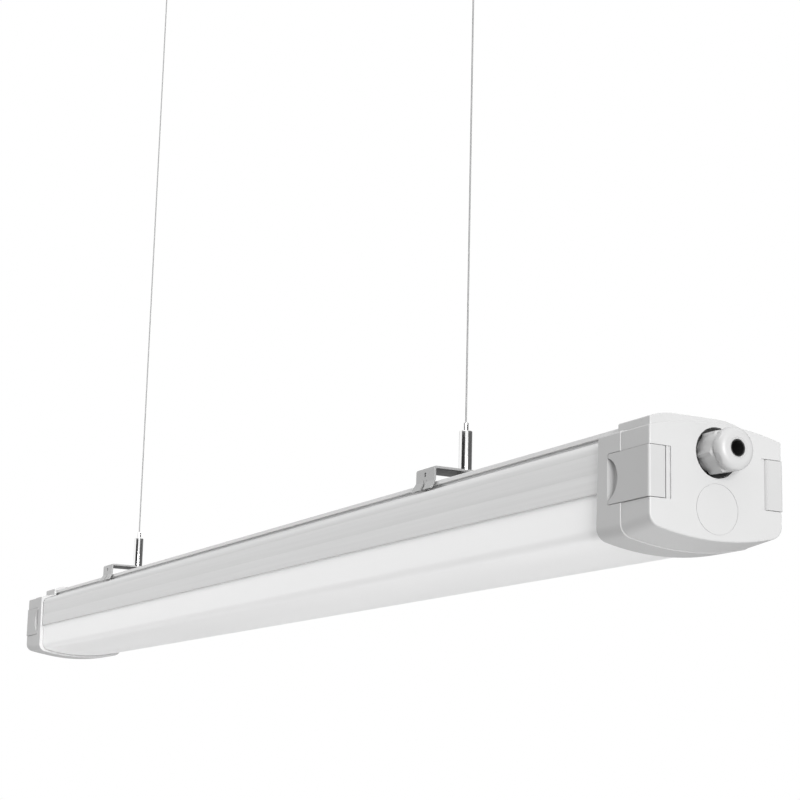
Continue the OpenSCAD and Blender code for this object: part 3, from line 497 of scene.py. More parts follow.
def open_outline():
    """The passage through a collar and into a cover, with its upper corners cut off."""
    half = np.concatenate([trough(OPEN_Y, OPEN_BOTTOM, CROWN_R, OPEN_CORNER_R, 12),
                           [[OPEN_Y, -OPEN_TOP - OPEN_EAR], [OPEN_Y - OPEN_EAR, -OPEN_TOP]]])
    return mirrored(half)


def body_outline(grow):
    """The shape that housing and diffuser make together, grown on every side."""
    half = np.concatenate([
        trough(DIFFUSER_Y + grow, DIFFUSER_BOTTOM + grow, CROWN_R + grow, DIFFUSER_CORNER_R + grow, 18),
        [[DIFFUSER_Y + grow, -WALL_H - grow], [WALL_Y + grow, -WALL_H - grow]],
        arc(WALL_Y - SHOULDER_R, -WALL_TOP, SHOULDER_R + grow, 0.0, SHOULDER_TURN, 8),
        [[RAIL_Y + grow, -LIP_T - GROOVE_H + grow], [RAIL_Y + grow, grow]],
    ])
    return mirrored(half)


def latch_cutters(end, side, with_ramp):
    """What a latch needs free: the seat of its side plate, and the ramp under its finger notch."""
    floor = LATCH_Y - LATCH_T - GAP
    plate = box_outline(-LATCH_LEN - GAP, PIN_X, SEAT_LOW, SEAT_HIGH)
    seat = solid(*prism(plate, floor, OUTSIDE_Y, 1), end, side)
    cutters = [seat]
    if with_ramp:
        disc = disc_outline(NOTCH_X, RAIL_Z - LATCH_Z, NOTCH_R - GAP, 64)
        shape(seat, [solid(*prism(disc, floor - 2 * OVER, OUTSIDE_Y + 2 * OVER, 1), end, side)])
        edge = -LATCH_LEN - OVER
        open_angle = math.degrees(math.acos((edge - NOTCH_X) / NOTCH_R))
        moon = arc(NOTCH_X, RAIL_Z - LATCH_Z, NOTCH_R, -open_angle, open_angle, 32)
        steps = np.linspace(0.0, 1.0, 9)
        slope = CAP_Y - RAMP_DEEP * steps * (2.0 - steps)
        hollow = np.stack([edge + steps * (NOTCH_DEPTH + OVER), slope], -1)
        hollow = np.concatenate([hollow, [[edge + NOTCH_DEPTH + OVER, OUTSIDE_Y], [edge, OUTSIDE_Y]]])
        ramp = solid(*prism(hollow, SEAT_LOW, SEAT_HIGH, 2), end, side)
        scoop = solid(*prism(moon, floor - 4 * OVER, OUTSIDE_Y + OVER, 1), end, side)
        cutters.append(shape(ramp, [scoop], "INTERSECT"))
    return cutters


def pocket_cutter(end, side):
    """The round hollow in the cover's corner in which the latch's barrel turns."""
    seat_turn = math.degrees(math.acos((-SEAT_DEEP - PIN_X) / SWEEP_R))
    outline = np.concatenate([
        arc(PIN_X, PIN_Y, SWEEP_R, 180.0, 360.0 - seat_turn, 40),
        [[-SEAT_DEEP, SEAT_FROM], [3 * OVER, SEAT_FROM], [3 * OVER, OUTSIDE_Y],
         [PIN_X - SWEEP_R, OUTSIDE_Y]],
    ])
    return solid(*prism(outline, SEAT_LOW, SEAT_HIGH, 2), end, side)


def disc_cutter(radius, x0, x1, z, end):
    """A round bar along x, to bore an end face."""
    a = whole_turn(BORE_STEPS)
    grid = np.empty((2, BORE_STEPS, 3))
    grid[0, :, 0], grid[1, :, 0] = x0, x1
    grid[..., 1] = radius * np.cos(a)
    grid[..., 2] = RAIL_Z + z + radius * np.sin(a)
    return solid(*capped_grid(grid), end)


def ring_cutter(radius, width, depth, z, end):
    """A ring, closed round its section, for a fine round groove."""
    a = whole_turn(BORE_STEPS)
    section = [(radius - width, OVER), (radius, OVER), (radius, -depth), (radius - width, -depth)]
    rings = [np.stack([0 * a + x, r * np.cos(a), RAIL_Z + z + r * np.sin(a)], -1) for r, x in section]
    grid = np.array(rings)
    return solid(*turned(np.concatenate([grid, grid[:1]])), end)


def finish_moulding(piece, sharp=38.0):
    """Smooth shading that keeps large faces flat and hard edges sharp."""
    outwards(piece.data)
    piece.data.shade_smooth()
    piece.data.set_sharp_from_angle(angle=math.radians(sharp))
    even = piece.modifiers.new("even", "WEIGHTED_NORMAL")
    even.keep_sharp = True
    return piece


def moulded(name, colour, low, high):
    """Satin moulded plastic: a fine even texture and a slight change of tone."""
    material, nodes, links, shader, place = node_material(name, colour, 0.45)
    fine = noise(nodes, links, place, 1400.0, 2.0)
    vary(nodes, links, fine, shader.inputs["Roughness"], low, high)
    relief(nodes, links, fine, shader, 0.000015)
    broad = noise(nodes, links, place, 25.0, 2.0)
    tint(nodes, links, broad, shader, [c * 0.985 for c in colour], [min(1.0, c * 1.015) for c in colour])
    return material


cap_grey = moulded("satin grey moulding", grey(0.45), 0.42, 0.50)
for end in ("near", "far"):
    # The cover stands SPLIT_STEP inside the collar all round, so a fine light edge shows at the split.
    edge = np.radians(np.linspace(0.0, 90.0, 9))
    back_x = -SPLIT_AT + SPLIT_GAP / 2
    cover_stations = [
        (back_x, SPLIT_STEP + BACK_EDGE, CAP_BOTTOM), (back_x + BACK_EDGE, SPLIT_STEP, CAP_BOTTOM),
    ]
    cover_stations += [
        (x, SPLIT_STEP + inset, CAP_BOTTOM - COVER_RISE * (x + SPLIT_AT) / SPLIT_AT)
        for x, inset in zip(FILLET * (np.sin(edge) - 1.0), FILLET * (1.0 - np.cos(edge)))
    ]
    skin_points, skin_faces = capped_grid(shell(cover_stations))
    cover = new_piece(end + "_end_cover", place_end(skin_points, end), skin_faces, "fixture", "white_plastic",
                      [end + "_cover"])
    outwards(cover.data)
    shape(cover, [solid(*capped_grid(hood(back_x, -HOOD_FRONT, True)), end)], "UNION")
    cutters = [solid(*capped_grid(along(open_outline(), [-SPLIT_AT - OVER, -HOLLOW_END])), end)]
    for side in (-1.0, 1.0):
        cutters += latch_cutters(end, side, False) + [pocket_cutter(end, side)]
    cutters.append(ring_cutter(KNOCKOUT_R, KNOCKOUT_LINE, KNOCKOUT_LINE, -KNOCKOUT_Z, end))
    if end == "near":
        cutters.append(disc_cutter(RECESS_R, -RECESS_D, 2 * OVER, -GLAND_Z, end))
        cutters.append(disc_cutter(THREAD_R + GAP, -SPLIT_AT, 2 * OVER, -GLAND_Z, end))
    shape(cover, cutters)
    finish_moulding(cover)
    paint(cover, cap_grey)

    front_x = -SPLIT_AT - SPLIT_GAP / 2
    rim = [(-CAP_LEN, RIM_EDGE), (-CAP_LEN + 0.3 * RIM_EDGE, 0.3 * RIM_EDGE), (-CAP_LEN + RIM_EDGE, 0.0),
           (front_x - SPLIT_CHAMFER, 0.0), (front_x, SPLIT_CHAMFER)]
    skin_points, skin_faces = capped_grid(shell([(x, inset, CAP_BOTTOM) for x, inset in rim]))
    at_rim = skin_points[:, 0] < -CAP_LEN + 2 * RIM_EDGE
    skin_points[at_rim & (skin_points[:, 2] < RAIL_Z - WALL_H - APRON_FROM), 0] -= APRON_LEN
    collar = new_piece(end + "_end_collar", place_end(skin_points, end), skin_faces, "fixture",
                       "grey_plastic", [end + "_collar"])
    outwards(collar.data)
    shape(collar, [solid(*capped_grid(hood(-CAP_LEN, front_x, False)), end)], "UNION")
    cutters = [
        solid(*capped_grid(along(body_outline(GAP), [-CAP_LEN - 5 * OVER, BODY_PLAY - HOUSING_IN])), end),
        solid(*capped_grid(along(open_outline(), [-CAP_LEN, 0.0])), end),
    ]
    for side in (-1.0, 1.0):
        cutters += latch_cutters(end, side, True)
    shape(collar, cutters)
    finish_moulding(collar)
    paint(collar, cap_grey)

# The latches
# Four moulded latches, two at each end. Each turns on an upright pin in the cover's corner, wraps
# round onto the end face, and has a half-moon notch to lift it by.
CORNER_R, BARREL_R, TIP_R, WRAP_Y, LIP_R = 1.5, 5.6, 7.9, 37.6, 0.8
FORK_EDGE, SIDE_BEVEL, SIDE_EDGE, LIP_IN, LIP_DOWN = 0.5, 0.35, 0.1, 0.25, 0.2
latch_outline = np.concatenate([
    [[-LATCH_LEN, LATCH_Y - LATCH_T], [-LATCH_LEN, LATCH_Y - FORK_EDGE],
     [-LATCH_LEN + 0.3 * FORK_EDGE, LATCH_Y - 0.3 * FORK_EDGE], [-LATCH_LEN + FORK_EDGE, LATCH_Y]],
    arc(LATCH_FRONT - CORNER_R, LATCH_Y - CORNER_R, CORNER_R, 90.0, 0.0, 14),
    [[LATCH_FRONT, WRAP_Y + LIP_R], [LATCH_FRONT - LIP_IN, WRAP_Y + LIP_DOWN]],
    arc(PIN_X, PIN_Y, TIP_R, -36.0, -90.0, 14),
    arc(PIN_X, PIN_Y, BARREL_R, -90.0, -218.0, 24),
])
latch_grey = moulded("satin latch grey", grey(0.42), 0.40, 0.48)
for end in ("near", "far"):
    for side, side_name in ((-1.0, "front"), (1.0, "back")):
        body = end + "_" + side_name + "_latch"
        upper = [(LATCH_H / 2 - SIDE_BEVEL, 0.0), (LATCH_H / 2 - SIDE_EDGE, SIDE_EDGE),
                 (LATCH_H / 2, SIDE_BEVEL)]
        levels = [(-height, inset) for height, inset in upper[::-1]] + upper
        rings = []
        for height, inset in levels:
            ring = np.empty((len(latch_outline), 3))
            ring[:, 0] = np.clip(latch_outline[:, 0], -LATCH_LEN + inset, LATCH_FRONT - inset)
            ring[:, 1] = np.minimum(latch_outline[:, 1], LATCH_Y - inset)
            ring[:, 2] = RAIL_Z - LATCH_Z + height
            rings.append(ring)
        points, faces = capped_grid(np.array(rings))
        latch = new_piece(body + "_moulding", place_end(points, end, side), faces, body, "grey_plastic",
                          [body])
        outwards(latch.data)
        disc = disc_outline(NOTCH_X, RAIL_Z - LATCH_Z, NOTCH_R, 96)
        notch = prism(disc, LATCH_Y - LATCH_T - 3 * OVER, LATCH_Y + 3 * OVER, 1)
        shape(latch, [solid(*notch, end, side)])
        finish_moulding(latch, sharp=42.0)
        paint(latch, latch_grey)

# The cable gland
# A moulded body with a hexagon stands in the round recess, and a domed nut screws onto it and
# squeezes claws and a rubber sleeve round the cable. No cable is fitted.
HEX_AF, HEX_FROM, HEX_TO = 24.0, -3.0, 12.5
SPIGOT_R, SPIGOT_TO, THREAD_TO, BORE_R, SEAT_X, SEAT_R = 10.5, 15.5, -16.0, 6.0, 4.0, 8.6
NUT_FROM, NUT_TIP, NUT_R, NUT_AF, NUT_ROUND = 12.8, 19.5, 12.85, 24.75, 4.5
MOUTH_R, NUT_FACE, NUT_GAP, HEX_TURN = 5.1, 3.0, 0.15, 12.0
THREAD_EDGE, HEX_BEVEL, HEX_BACK_IN, HEX_FACE_IN, NUT_EDGE, MOUTH_EDGE = 0.6, 2.0, 1.8, 1.9, 0.5, 0.4
FACE_LINE_FROM, FACE_LINE_TO, FACE_LINE_D, GLAND_STEPS = 0.5, 1.2, 0.25, 180


def gland_grid(profile, flats, turned_by=0.0):
    """A turned skin about the gland's axis from [x, radius] points. Where a profile point asks for it,
    the radius is held inside a hexagon, turned by an angle in degrees from having corners at its sides."""
    a = whole_turn(GLAND_STEPS)
    wedge = np.mod(a - math.radians(turned_by), np.pi / 3) - np.pi / 6
    hexagon = flats / 2 / np.cos(wedge)
    rows = []
    for x, radius, held in profile:
        r = np.minimum(radius, hexagon) if held else np.full(GLAND_STEPS, radius)
        rows.append(np.stack([NEAR_END + x + 0 * a, r * np.cos(a), RAIL_Z - GLAND_Z + r * np.sin(a)], -1))
    grid = np.array(rows)
    return np.concatenate([grid, grid[:1]])


HEX_R = HEX_AF / math.sqrt(3.0)
body_profile = [
    (THREAD_TO, BORE_R, False), (THREAD_TO, THREAD_R - THREAD_EDGE, False),
    (THREAD_TO + THREAD_EDGE, THREAD_R, False), (HEX_FROM, THREAD_R, False),
    (HEX_FROM, HEX_R - HEX_BACK_IN, True), (HEX_FROM + HEX_BEVEL, HEX_R, True),
    (HEX_TO - HEX_BEVEL, HEX_R, True), (HEX_TO, HEX_R - HEX_FACE_IN, True),
    (HEX_TO, SPIGOT_R, False), (SPIGOT_TO, SPIGOT_R, False), (SPIGOT_TO, SEAT_R, False),
    (SEAT_X, SEAT_R, False), (SEAT_X, BORE_R, False),
]
gland_body = new_piece("moulded_gland_body", *turned(gland_grid(body_profile, HEX_AF, HEX_TURN)), "fixture",
                       "gland_plastic", ["gland_body"], sharp=25.0)
outwards(gland_body.data)
dome = [(NUT_TIP - NUT_ROUND + NUT_ROUND * math.sin(a), NUT_R - NUT_ROUND + NUT_ROUND * math.cos(a), True)
        for a in np.radians(np.linspace(0.0, 90.0, 13))]
nut_profile = (
    [(NUT_FROM, SPIGOT_R + NUT_GAP, False), (NUT_FROM, NUT_R - NUT_EDGE, True),
     (NUT_FROM + NUT_EDGE, NUT_R, True)]
    + dome
    + [(NUT_TIP, MOUTH_R + FACE_LINE_TO, False),
       (NUT_TIP - FACE_LINE_D, MOUTH_R + FACE_LINE_TO - FACE_LINE_D, False),
       (NUT_TIP - FACE_LINE_D, MOUTH_R + FACE_LINE_FROM + 0.8 * FACE_LINE_D, False),
       (NUT_TIP, MOUTH_R + FACE_LINE_FROM, False),
       (NUT_TIP - MOUTH_EDGE, MOUTH_R, False), (NUT_TIP - NUT_FACE, MOUTH_R, False),
       (NUT_TIP - NUT_FACE, SEAT_R + NUT_GAP, False), (SPIGOT_TO + GAP, SEAT_R + NUT_GAP, False),
       (SPIGOT_TO + GAP, SPIGOT_R + NUT_GAP, False)]
)
gland_nut = new_piece("domed_gland_nut", *turned(gland_grid(nut_profile, NUT_AF)), "gland_nut",
                      "gland_plastic", ["gland_nut"], sharp=28.0)
outwards(gland_nut.data)
gland_grey = moulded("satin gland grey", grey(0.42), 0.38, 0.48)
gland_light = moulded("satin nut grey", grey(0.43), 0.34, 0.44)
paint(gland_body, gland_grey)
paint(gland_nut, gland_light)

black_rubber, nodes, links, shader, place = node_material("black rubber", grey(0.012), 0.6)
grain = noise(nodes, links, place, 900.0, 3.0)
vary(nodes, links, grain, shader.inputs["Roughness"], 0.5, 0.7)
relief(nodes, links, grain, shader, 0.00002)

# The brackets
# Each is one bent strip of bright stainless steel. Its legs straddle the rail, flare out at the
# foot, and a tongue pushed in from each leg hooks under the rail's lip.
BRACKET_W, BRACKET_H, BRACKET_T, BEND_R = 26.0, 10.9, 1.6, 1.8
LEG_IN, FOOT_TOP, FOOT_BOTTOM, FOOT_FLARE = 31.2, 0.5, -5.4, 3.2
TONGUE_W, TONGUE_REACH, TONGUE_TOP = 3.4, 2.2, -3.4
WINDOW_W, WINDOW_TOP, LEG_HOLE_R, LEG_HOLE_Z = 4.4, 2.0, 1.6, 6.0
FOOT_BEND_OUT, FOOT_BEND_IN = [[0.0, 0.6], [0.4, -0.3]], [[0.0, 0.4], [0.5, -0.6]]
SIDE_FLARE, SIDE_FLARE_FROM, SIDE_FLARE_OVER, TONGUE_LAP = 2.4, 1.0, 5.0, 0.3
TONGUE_BEND_OUT = [[-TIGHT, -0.5], [-0.4, -1.2], [-1.2, -BRACKET_T]]
TONGUE_BEND_IN = [[-0.4, 0.0], [-0.1, 0.1], [TIGHT, 0.6]]


def strip(outside, inside, width, x):
    """A bent strip: its outside and inside lines in [y, z], carried across its width."""
    outline = np.concatenate([outside, inside[::-1]])
    return along(outline, x + width * np.array([-0.5, -0.49, -0.25, 0.25, 0.49, 0.5]))


def leg_cutter(outline, low, high, side):
    """A prism through one leg of a bracket, on an outline in [x, z]."""
    points, faces = prism(outline, low, high, 1)
    return solid(np.array(points) * [1.0, side, 1.0] - [NEAR_END, 0.0, 0.0], faces)


leg_out = LEG_IN + BRACKET_T
outside = np.concatenate([
    [[0.0, BRACKET_H]],
    arc(leg_out - BEND_R, BRACKET_H - BEND_R, BEND_R, 90.0, 0.0, 8),
    np.array(FOOT_BEND_OUT) + [leg_out, FOOT_TOP], [[leg_out + FOOT_FLARE, FOOT_BOTTOM]],
])
inside = np.concatenate([
    [[0.0, BRACKET_H - BRACKET_T]],
    arc(leg_out - BEND_R, BRACKET_H - BEND_R, BEND_R - BRACKET_T, 90.0, 0.0, 8),
    np.array(FOOT_BEND_IN) + [LEG_IN, FOOT_TOP], [[LEG_IN + FOOT_FLARE, FOOT_BOTTOM]],
])
whole_outside = np.concatenate([outside[1:][::-1] * [-1, 1], outside[1:]])
whole_inside = np.concatenate([inside[1:][::-1] * [-1, 1], inside[1:]])
steel, nodes, links, shader, place = node_material("bright rolled steel", grey(0.40), 0.24, 1.0)
rolled = noise(nodes, links, place, 300.0, 4.0, (1.0, 0.06, 1.0))
vary(nodes, links, rolled, shader.inputs["Roughness"], 0.16, 0.30)
relief(nodes, links, rolled, shader, 0.00002)
cut_edge, nodes, links, shader, place = node_material("cut steel edge", grey(0.28), 0.5, 0.3)
vary(nodes, links, noise(nodes, links, place, 900.0, 3.0), shader.inputs["Roughness"], 0.45, 0.55)
# A darker copy of the bright steel: painted shade for the underside of the top plate.
painted_shade_steel, nodes, links, shader, place = node_material("inner steel with painted shade", grey(0.13), 0.45, 0.9)
vary(nodes, links, noise(nodes, links, place, 300.0, 4.0), shader.inputs["Roughness"], 0.40, 0.50)
for end, x in (("near", NEAR_WIRE_X), ("far", FAR_WIRE_X)):
    grid = strip(whole_outside, whole_inside, BRACKET_W, x)
    # The feet also flare sideways, along their edge away from the near end.
    flare = np.clip((FOOT_TOP + SIDE_FLARE_FROM + RAIL_Z - grid[..., 2]) / SIDE_FLARE_OVER, 0.0, 1.0)
    grid[..., 0] -= np.where(grid[..., 0] < x - BRACKET_W * 0.4, flare * SIDE_FLARE, 0.0)
    bracket = new_piece(end + "_strap_bracket", *capped_grid(grid), "suspension", "bracket_steel",
                        [end + "_bracket"], sharp=40.0)
    outwards(bracket.data)
    window = box_outline(x - WINDOW_W / 2, x + WINDOW_W / 2, RAIL_Z + FOOT_BOTTOM - OVER,
                         RAIL_Z + WINDOW_TOP)
    hole = disc_outline(x, RAIL_Z + LEG_HOLE_Z, LEG_HOLE_R, 40)
    cutters = []
    for side in (-1.0, 1.0):
        cutters.append(leg_cutter(window, LEG_IN - 2 * OVER, leg_out + FOOT_FLARE + 2 * OVER, side))
        cutters.append(leg_cutter(hole, LEG_IN - 2 * OVER, leg_out + 2 * OVER, side))
    shape(bracket, cutters)
    for side in (-1.0, 1.0):
        tongue = np.concatenate([
            [[leg_out - TIGHT, WINDOW_TOP + TONGUE_LAP]],
            np.array(TONGUE_BEND_OUT) + [leg_out, TONGUE_TOP],
            [[LEG_IN - TONGUE_REACH, TONGUE_TOP - BRACKET_T], [LEG_IN - TONGUE_REACH, TONGUE_TOP]],
            np.array(TONGUE_BEND_IN) + [LEG_IN, TONGUE_TOP],
            [[LEG_IN + TIGHT, WINDOW_TOP + TONGUE_LAP]],
        ])
        points, faces = capped_grid(along(tongue * [side, 1.0], [x - TONGUE_W / 2, x + TONGUE_W / 2]))
        shape(bracket, [solid(points - [NEAR_END, 0.0, 0.0], faces)], "UNION")
    finish_moulding(bracket, sharp=35.0)
    paint(bracket, steel, cut_edge, painted_shade_steel)
    # The strip's cut edges face along x. The underside of its top gets a darker, duller steel, which is
    # painted shade under the plate.
    for face in bracket.data.polygons:
        below_top = face.normal.z < -0.9 and face.center.z / MM > RAIL_Z + BRACKET_H - BRACKET_T - 0.5
        face.material_index = 1 if abs(face.normal.x) > 0.5 else 2 if below_top else 0
    paint(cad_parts[end + "_gripper_nut"], steel)

# The wire grippers
# Each is a turned, nickel plated barrel screwed to its bracket. Balls inside it wedge the wire, and
# pushing the plunger at its top frees them and presses the spring under them together.
GRIPPER_R, GRIPPER_TOP, PLUNGER_R, PLUNGER_TOP = 4.7, 41.5, 1.85, 47.8
PLUNGER_FOOT, PLUNGER_BORE_R, STUD_R, STUD_BOTTOM = 32.1, 0.9, 3.0, 3.9
CHAMBER_BOTTOM, CHAMBER_R, CONE_BOTTOM, CONE_TOP, CONE_TOP_R = 15.9, 3.9, 25.5, 35.5, 2.6
SPRING_R, SPRING_WIRE_R, SPRING_TURNS, SPRING_STEPS, PLUNGER_WAY = 2.55, 0.35, 5, 241, 3.0
STUD_EDGE, BARREL_EDGE, BARREL_ROUND, MOUTH_ROUND, PLUNGER_EDGE = 0.4, 0.3, 0.6, 0.2, 0.1
around = whole_turn(12)
wound = np.linspace(0.0, 2.0 * np.pi * SPRING_TURNS, SPRING_STEPS)[:, None]
for end, x in (("near", NEAR_WIRE_X), ("far", FAR_WIRE_X)):
    barrel = [
        (PLUNGER_BORE_R, STUD_BOTTOM), (STUD_R - STUD_EDGE, STUD_BOTTOM), (STUD_R, STUD_BOTTOM + STUD_EDGE),
        (STUD_R, BRACKET_H), (GRIPPER_R - BARREL_EDGE, BRACKET_H), (GRIPPER_R, BRACKET_H + BARREL_EDGE),
        (GRIPPER_R, GRIPPER_TOP - BARREL_ROUND),
        (GRIPPER_R - BARREL_ROUND / 4, GRIPPER_TOP - BARREL_ROUND / 3),
        (GRIPPER_R - BARREL_ROUND, GRIPPER_TOP), (PLUNGER_R + TIGHT + MOUTH_ROUND, GRIPPER_TOP),
        (PLUNGER_R + TIGHT, GRIPPER_TOP - MOUTH_ROUND), (PLUNGER_R + TIGHT, CONE_TOP), (CONE_TOP_R, CONE_TOP),
        (CHAMBER_R, CONE_BOTTOM), (CHAMBER_R, CHAMBER_BOTTOM), (PLUNGER_BORE_R, CHAMBER_BOTTOM),
    ]
    gripper = new_piece(end + "_turned_gripper", *turned(lathe(barrel, (x, 0.0, RAIL_Z), 96)), "suspension",
                        "gripper_nickel", [end + "_gripper"])
    outwards(gripper.data)
    paint(gripper, nickel)
    stem = [
        (PLUNGER_BORE_R, PLUNGER_FOOT), (PLUNGER_R - PLUNGER_EDGE, PLUNGER_FOOT),
        (PLUNGER_R, PLUNGER_FOOT + PLUNGER_EDGE), (PLUNGER_R, PLUNGER_TOP - 3 * PLUNGER_EDGE),
        (PLUNGER_R - 3 * PLUNGER_EDGE, PLUNGER_TOP), (PLUNGER_BORE_R, PLUNGER_TOP),
    ]
    plunger = new_piece(end + "_turned_plunger", *turned(lathe(stem, (x, 0.0, RAIL_Z), 64)), end + "_plunger",
                        "gripper_nickel", [end + "_plunger"])
    outwards(plunger.data)
    paint(plunger, nickel)
    low, high = (corner[2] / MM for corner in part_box(end + "_gripper_spring"))
    heights = np.linspace(low + SPRING_WIRE_R, high - SPRING_WIRE_R, SPRING_STEPS)[:, None]
    heights = heights + SPRING_WIRE_R * np.sin(around)
    reach = SPRING_R + SPRING_WIRE_R * np.cos(around)
    coil = np.stack([x + reach * np.cos(wound), reach * np.sin(wound), heights], -1)
    spring = new_piece(end + "_coiled_spring", *capped_grid(coil), "suspension", "steel",
                       [end + "_gripper_spring"])
    outwards(spring.data)
    paint(spring, steel)
    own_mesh(spring)

# What is inside
# The sealed body holds a painted tray with the driver, terminal block and leads on it and the boards
# under it. Seals close the joints, and plain steel pins, screws, balls and springs do their work.


def plain(name, colour, roughness, metallic=0.0):
    """A plain finish with a fine grain."""
    material, nodes, links, shader, place = node_material(name, colour, roughness, metallic)
    grain = noise(nodes, links, place, 600.0)
    vary(nodes, links, grain, shader.inputs["Roughness"], roughness * 0.85, roughness * 1.15)
    tint(nodes, links, grain, shader, [c * 0.96 for c in colour], [min(1.0, c * 1.03) for c in colour])
    relief(nodes, links, grain, shader, 0.00001)
    return material


finishes = {
    "gland_plastic": (plain("gland nylon", grey(0.62), 0.45), ["gland_lock_nut", "gland_claws"]),
    "gland_rubber": (black_rubber, ["gland_insert", "gland_washer"]),
    "seal_rubber": (
        plain("seal rubber", grey(0.05), 0.7),
        ["diffuser_seals", "near_housing_seal", "far_housing_seal", "near_cover_seal", "far_cover_seal"],
    ),
    "tray_paint": (plain("white powder coat", grey(0.80), 0.4), ["gear_tray"]),
    "board_white": (plain("white board", (0.86, 0.86, 0.84), 0.45), ["led_boards"]),
    "chip_yellow": (plain("phosphor", (0.80, 0.66, 0.16), 0.3), ["led_chips"]),
    "driver_case": (plain("driver case", grey(0.72), 0.5), ["driver"]),
    "block_plastic": (plain("terminal block", (0.80, 0.80, 0.77), 0.45), ["terminal_block"]),
    "lead_blue": (plain("blue lead", (0.10, 0.22, 0.50), 0.4), ["driver_leads"]),
    "lead_red": (plain("red lead", (0.55, 0.08, 0.06), 0.4), ["led_leads"]),
    "steel": (
        plain("plain steel", grey(0.50), 0.3, 1.0),
        ["collar_screws", "latch_pins", "near_gripper_balls", "far_gripper_balls"],
    ),
}
for material, names in finishes.values():
    for node in names:
        paint(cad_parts[node], material)

# The studio
# A white surround, a soft lamp above, a soft sun on the near end, and two dark flags that only gloss
# mirrors. The surround is dimmer from the lower front, where the caps' corners turn dark.
LIGHT = 0.70
DIM_FROM, DIM_BY, DIM_START, DIM_FULL = Vector((0.3, -0.70, -0.65)).normalized(), 1.0, 0.55, 0.92
FLOOR_Z, FLOOR_X, FLOOR_FRONT, FLOOR_BACK = -2.6, 2.0, -0.9, 2.0
FLAG_R, FLAG_LOW, FLAG_HIGH, FLAG_STEPS = 3.0, -2.2, 1.2, 25


def camera_or_gloss(tree):
    """1 for rays from the camera and for mirrored and transmitted ones, otherwise 0."""
    path = tree.nodes.new("ShaderNodeLightPath")
    gloss = tree.nodes.new("ShaderNodeMath")
    gloss.operation = "MAXIMUM"
    either = tree.nodes.new("ShaderNodeMath")
    either.operation = "MAXIMUM"
    tree.links.new(path.outputs["Is Glossy Ray"], gloss.inputs[0])
    tree.links.new(path.outputs["Is Transmission Ray"], gloss.inputs[1])
    tree.links.new(path.outputs["Is Camera Ray"], either.inputs[0])
    tree.links.new(gloss.outputs[0], either.inputs[1])
    return either.outputs[0]


def toward(tree, direction, low, high):
    """0 to 1 as a ray's own direction comes nearer to the given one."""
    coordinate = tree.nodes.new("ShaderNodeTexCoord")
    dot = tree.nodes.new("ShaderNodeVectorMath")
    dot.operation = "DOT_PRODUCT"
    dot.inputs[1].default_value = direction
    spread = tree.nodes.new("ShaderNodeMapRange")
    spread.interpolation_type = "SMOOTHSTEP"
    spread.inputs["From Min"].default_value = low
    spread.inputs["From Max"].default_value = high
    tree.links.new(coordinate.outputs["Generated"], dot.inputs[0])
    tree.links.new(dot.outputs["Value"], spread.inputs["Value"])
    return spread


world = bpy.data.worlds.new("surround")
bpy.context.scene.world = world
world.use_nodes = True
tree = world.node_tree
tree.nodes.clear()
lit, seen = tree.nodes.new("ShaderNodeBackground"), tree.nodes.new("ShaderNodeBackground")
dimmed = toward(tree, DIM_FROM, DIM_START, DIM_FULL)
dimmed.inputs["To Min"].default_value = LIGHT
dimmed.inputs["To Max"].default_value = LIGHT * (1.0 - DIM_BY)
tree.links.new(dimmed.outputs["Result"], lit.inputs["Strength"])
seen.inputs["Strength"].default_value = 1.0
for shade in (lit, seen):
    shade.inputs["Color"].default_value = (1.0, 1.0, 1.0, 1.0)
mix, out = tree.nodes.new("ShaderNodeMixShader"), tree.nodes.new("ShaderNodeOutputWorld")
tree.links.new(camera_or_gloss(tree), mix.inputs["Fac"])
tree.links.new(lit.outputs[0], mix.inputs[1])
tree.links.new(seen.outputs[0], mix.inputs[2])
tree.links.new(mix.outputs[0], out.inputs["Surface"])

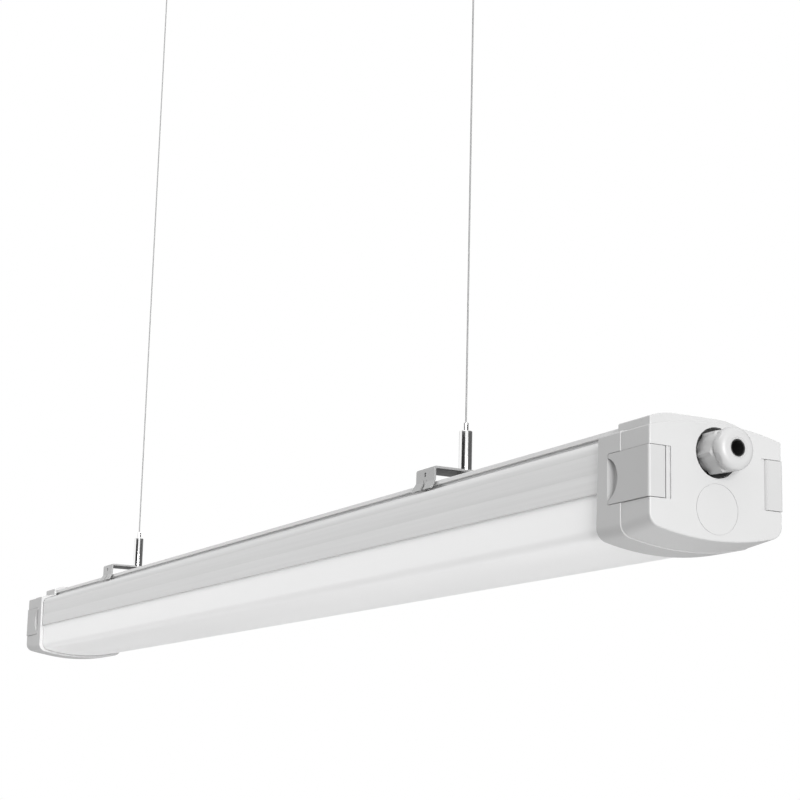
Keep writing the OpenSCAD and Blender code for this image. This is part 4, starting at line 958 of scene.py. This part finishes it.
# The floor lies far below the hanging light. The camera sees it as pale as the surround.
mesh = bpy.data.meshes.new("floor")
corners = box_outline(-FLOOR_X, FLOOR_X, FLOOR_FRONT, FLOOR_BACK)
mesh.from_pydata([(x, y, FLOOR_Z) for x, y in corners], [], [(0, 1, 2, 3)])
floor = bpy.data.objects.new("floor", mesh)
bpy.context.scene.collection.objects.link(floor)
floor_paint, nodes, links, shader, place = node_material("floor paint", grey(0.86), 0.9)
shader.inputs["Emission Color"].default_value = (1.0, 1.0, 1.0, 1.0)
shader.inputs["Emission Strength"].default_value = 0.75
floor.data.materials.append(floor_paint)

top_light = bpy.data.lights.new("top_lamp", "AREA")
top_light.shape = "RECTANGLE"
top_light.size, top_light.size_y = 2.6, 1.2
top_light.energy = 30.0
top_lamp = bpy.data.objects.new("top_lamp", top_light)
top_lamp.location = (0.0, -1.2, 1.6)
top_lamp.rotation_euler = Vector((0.0, 1.2, -2.3)).to_track_quat("-Z", "Y").to_euler()
bpy.context.scene.collection.objects.link(top_lamp)

SUN_AZIMUTH = math.radians(12.0)
sun = bpy.data.lights.new("end_sun", "SUN")
sun.energy = 3.7
sun.angle = math.radians(25.0)
end_sun = bpy.data.objects.new("end_sun", sun)
shining = Vector((-math.cos(SUN_AZIMUTH), math.sin(SUN_AZIMUTH), -0.05))
end_sun.rotation_euler = shining.to_track_quat("-Z", "Y").to_euler()
bpy.context.scene.collection.objects.link(end_sun)


def flag(name, start, stop, tone):
    """A tall dark screen seen only by gloss, curved round the fixture between two azimuths from the
    camera's."""
    a = math.atan2(back.y, back.x) + np.radians(np.linspace(start, stop, FLAG_STEPS))
    foot = np.stack([FLAG_R * np.cos(a), FLAG_R * np.sin(a), FLAG_LOW + 0.0 * a], -1)
    points = np.stack([foot, foot + [0.0, 0.0, FLAG_HIGH - FLAG_LOW]])
    screen = bpy.data.meshes.new(name)
    screen.from_pydata(points.reshape(-1, 3).tolist(), [], grid_faces(2, FLAG_STEPS, closed=False))
    screen_object = bpy.data.objects.new(name, screen)
    bpy.context.scene.collection.objects.link(screen_object)
    screen_object.visible_camera = False
    screen_object.visible_diffuse = False
    screen_object.visible_shadow = False
    screen_object.visible_transmission = False
    screen.materials.append(node_material(name + " paint", grey(tone), 0.9)[0])


flag("left_flag", -71.0, -7.0, 0.02)
flag("right_flag", 42.0, 205.0, 0.12)
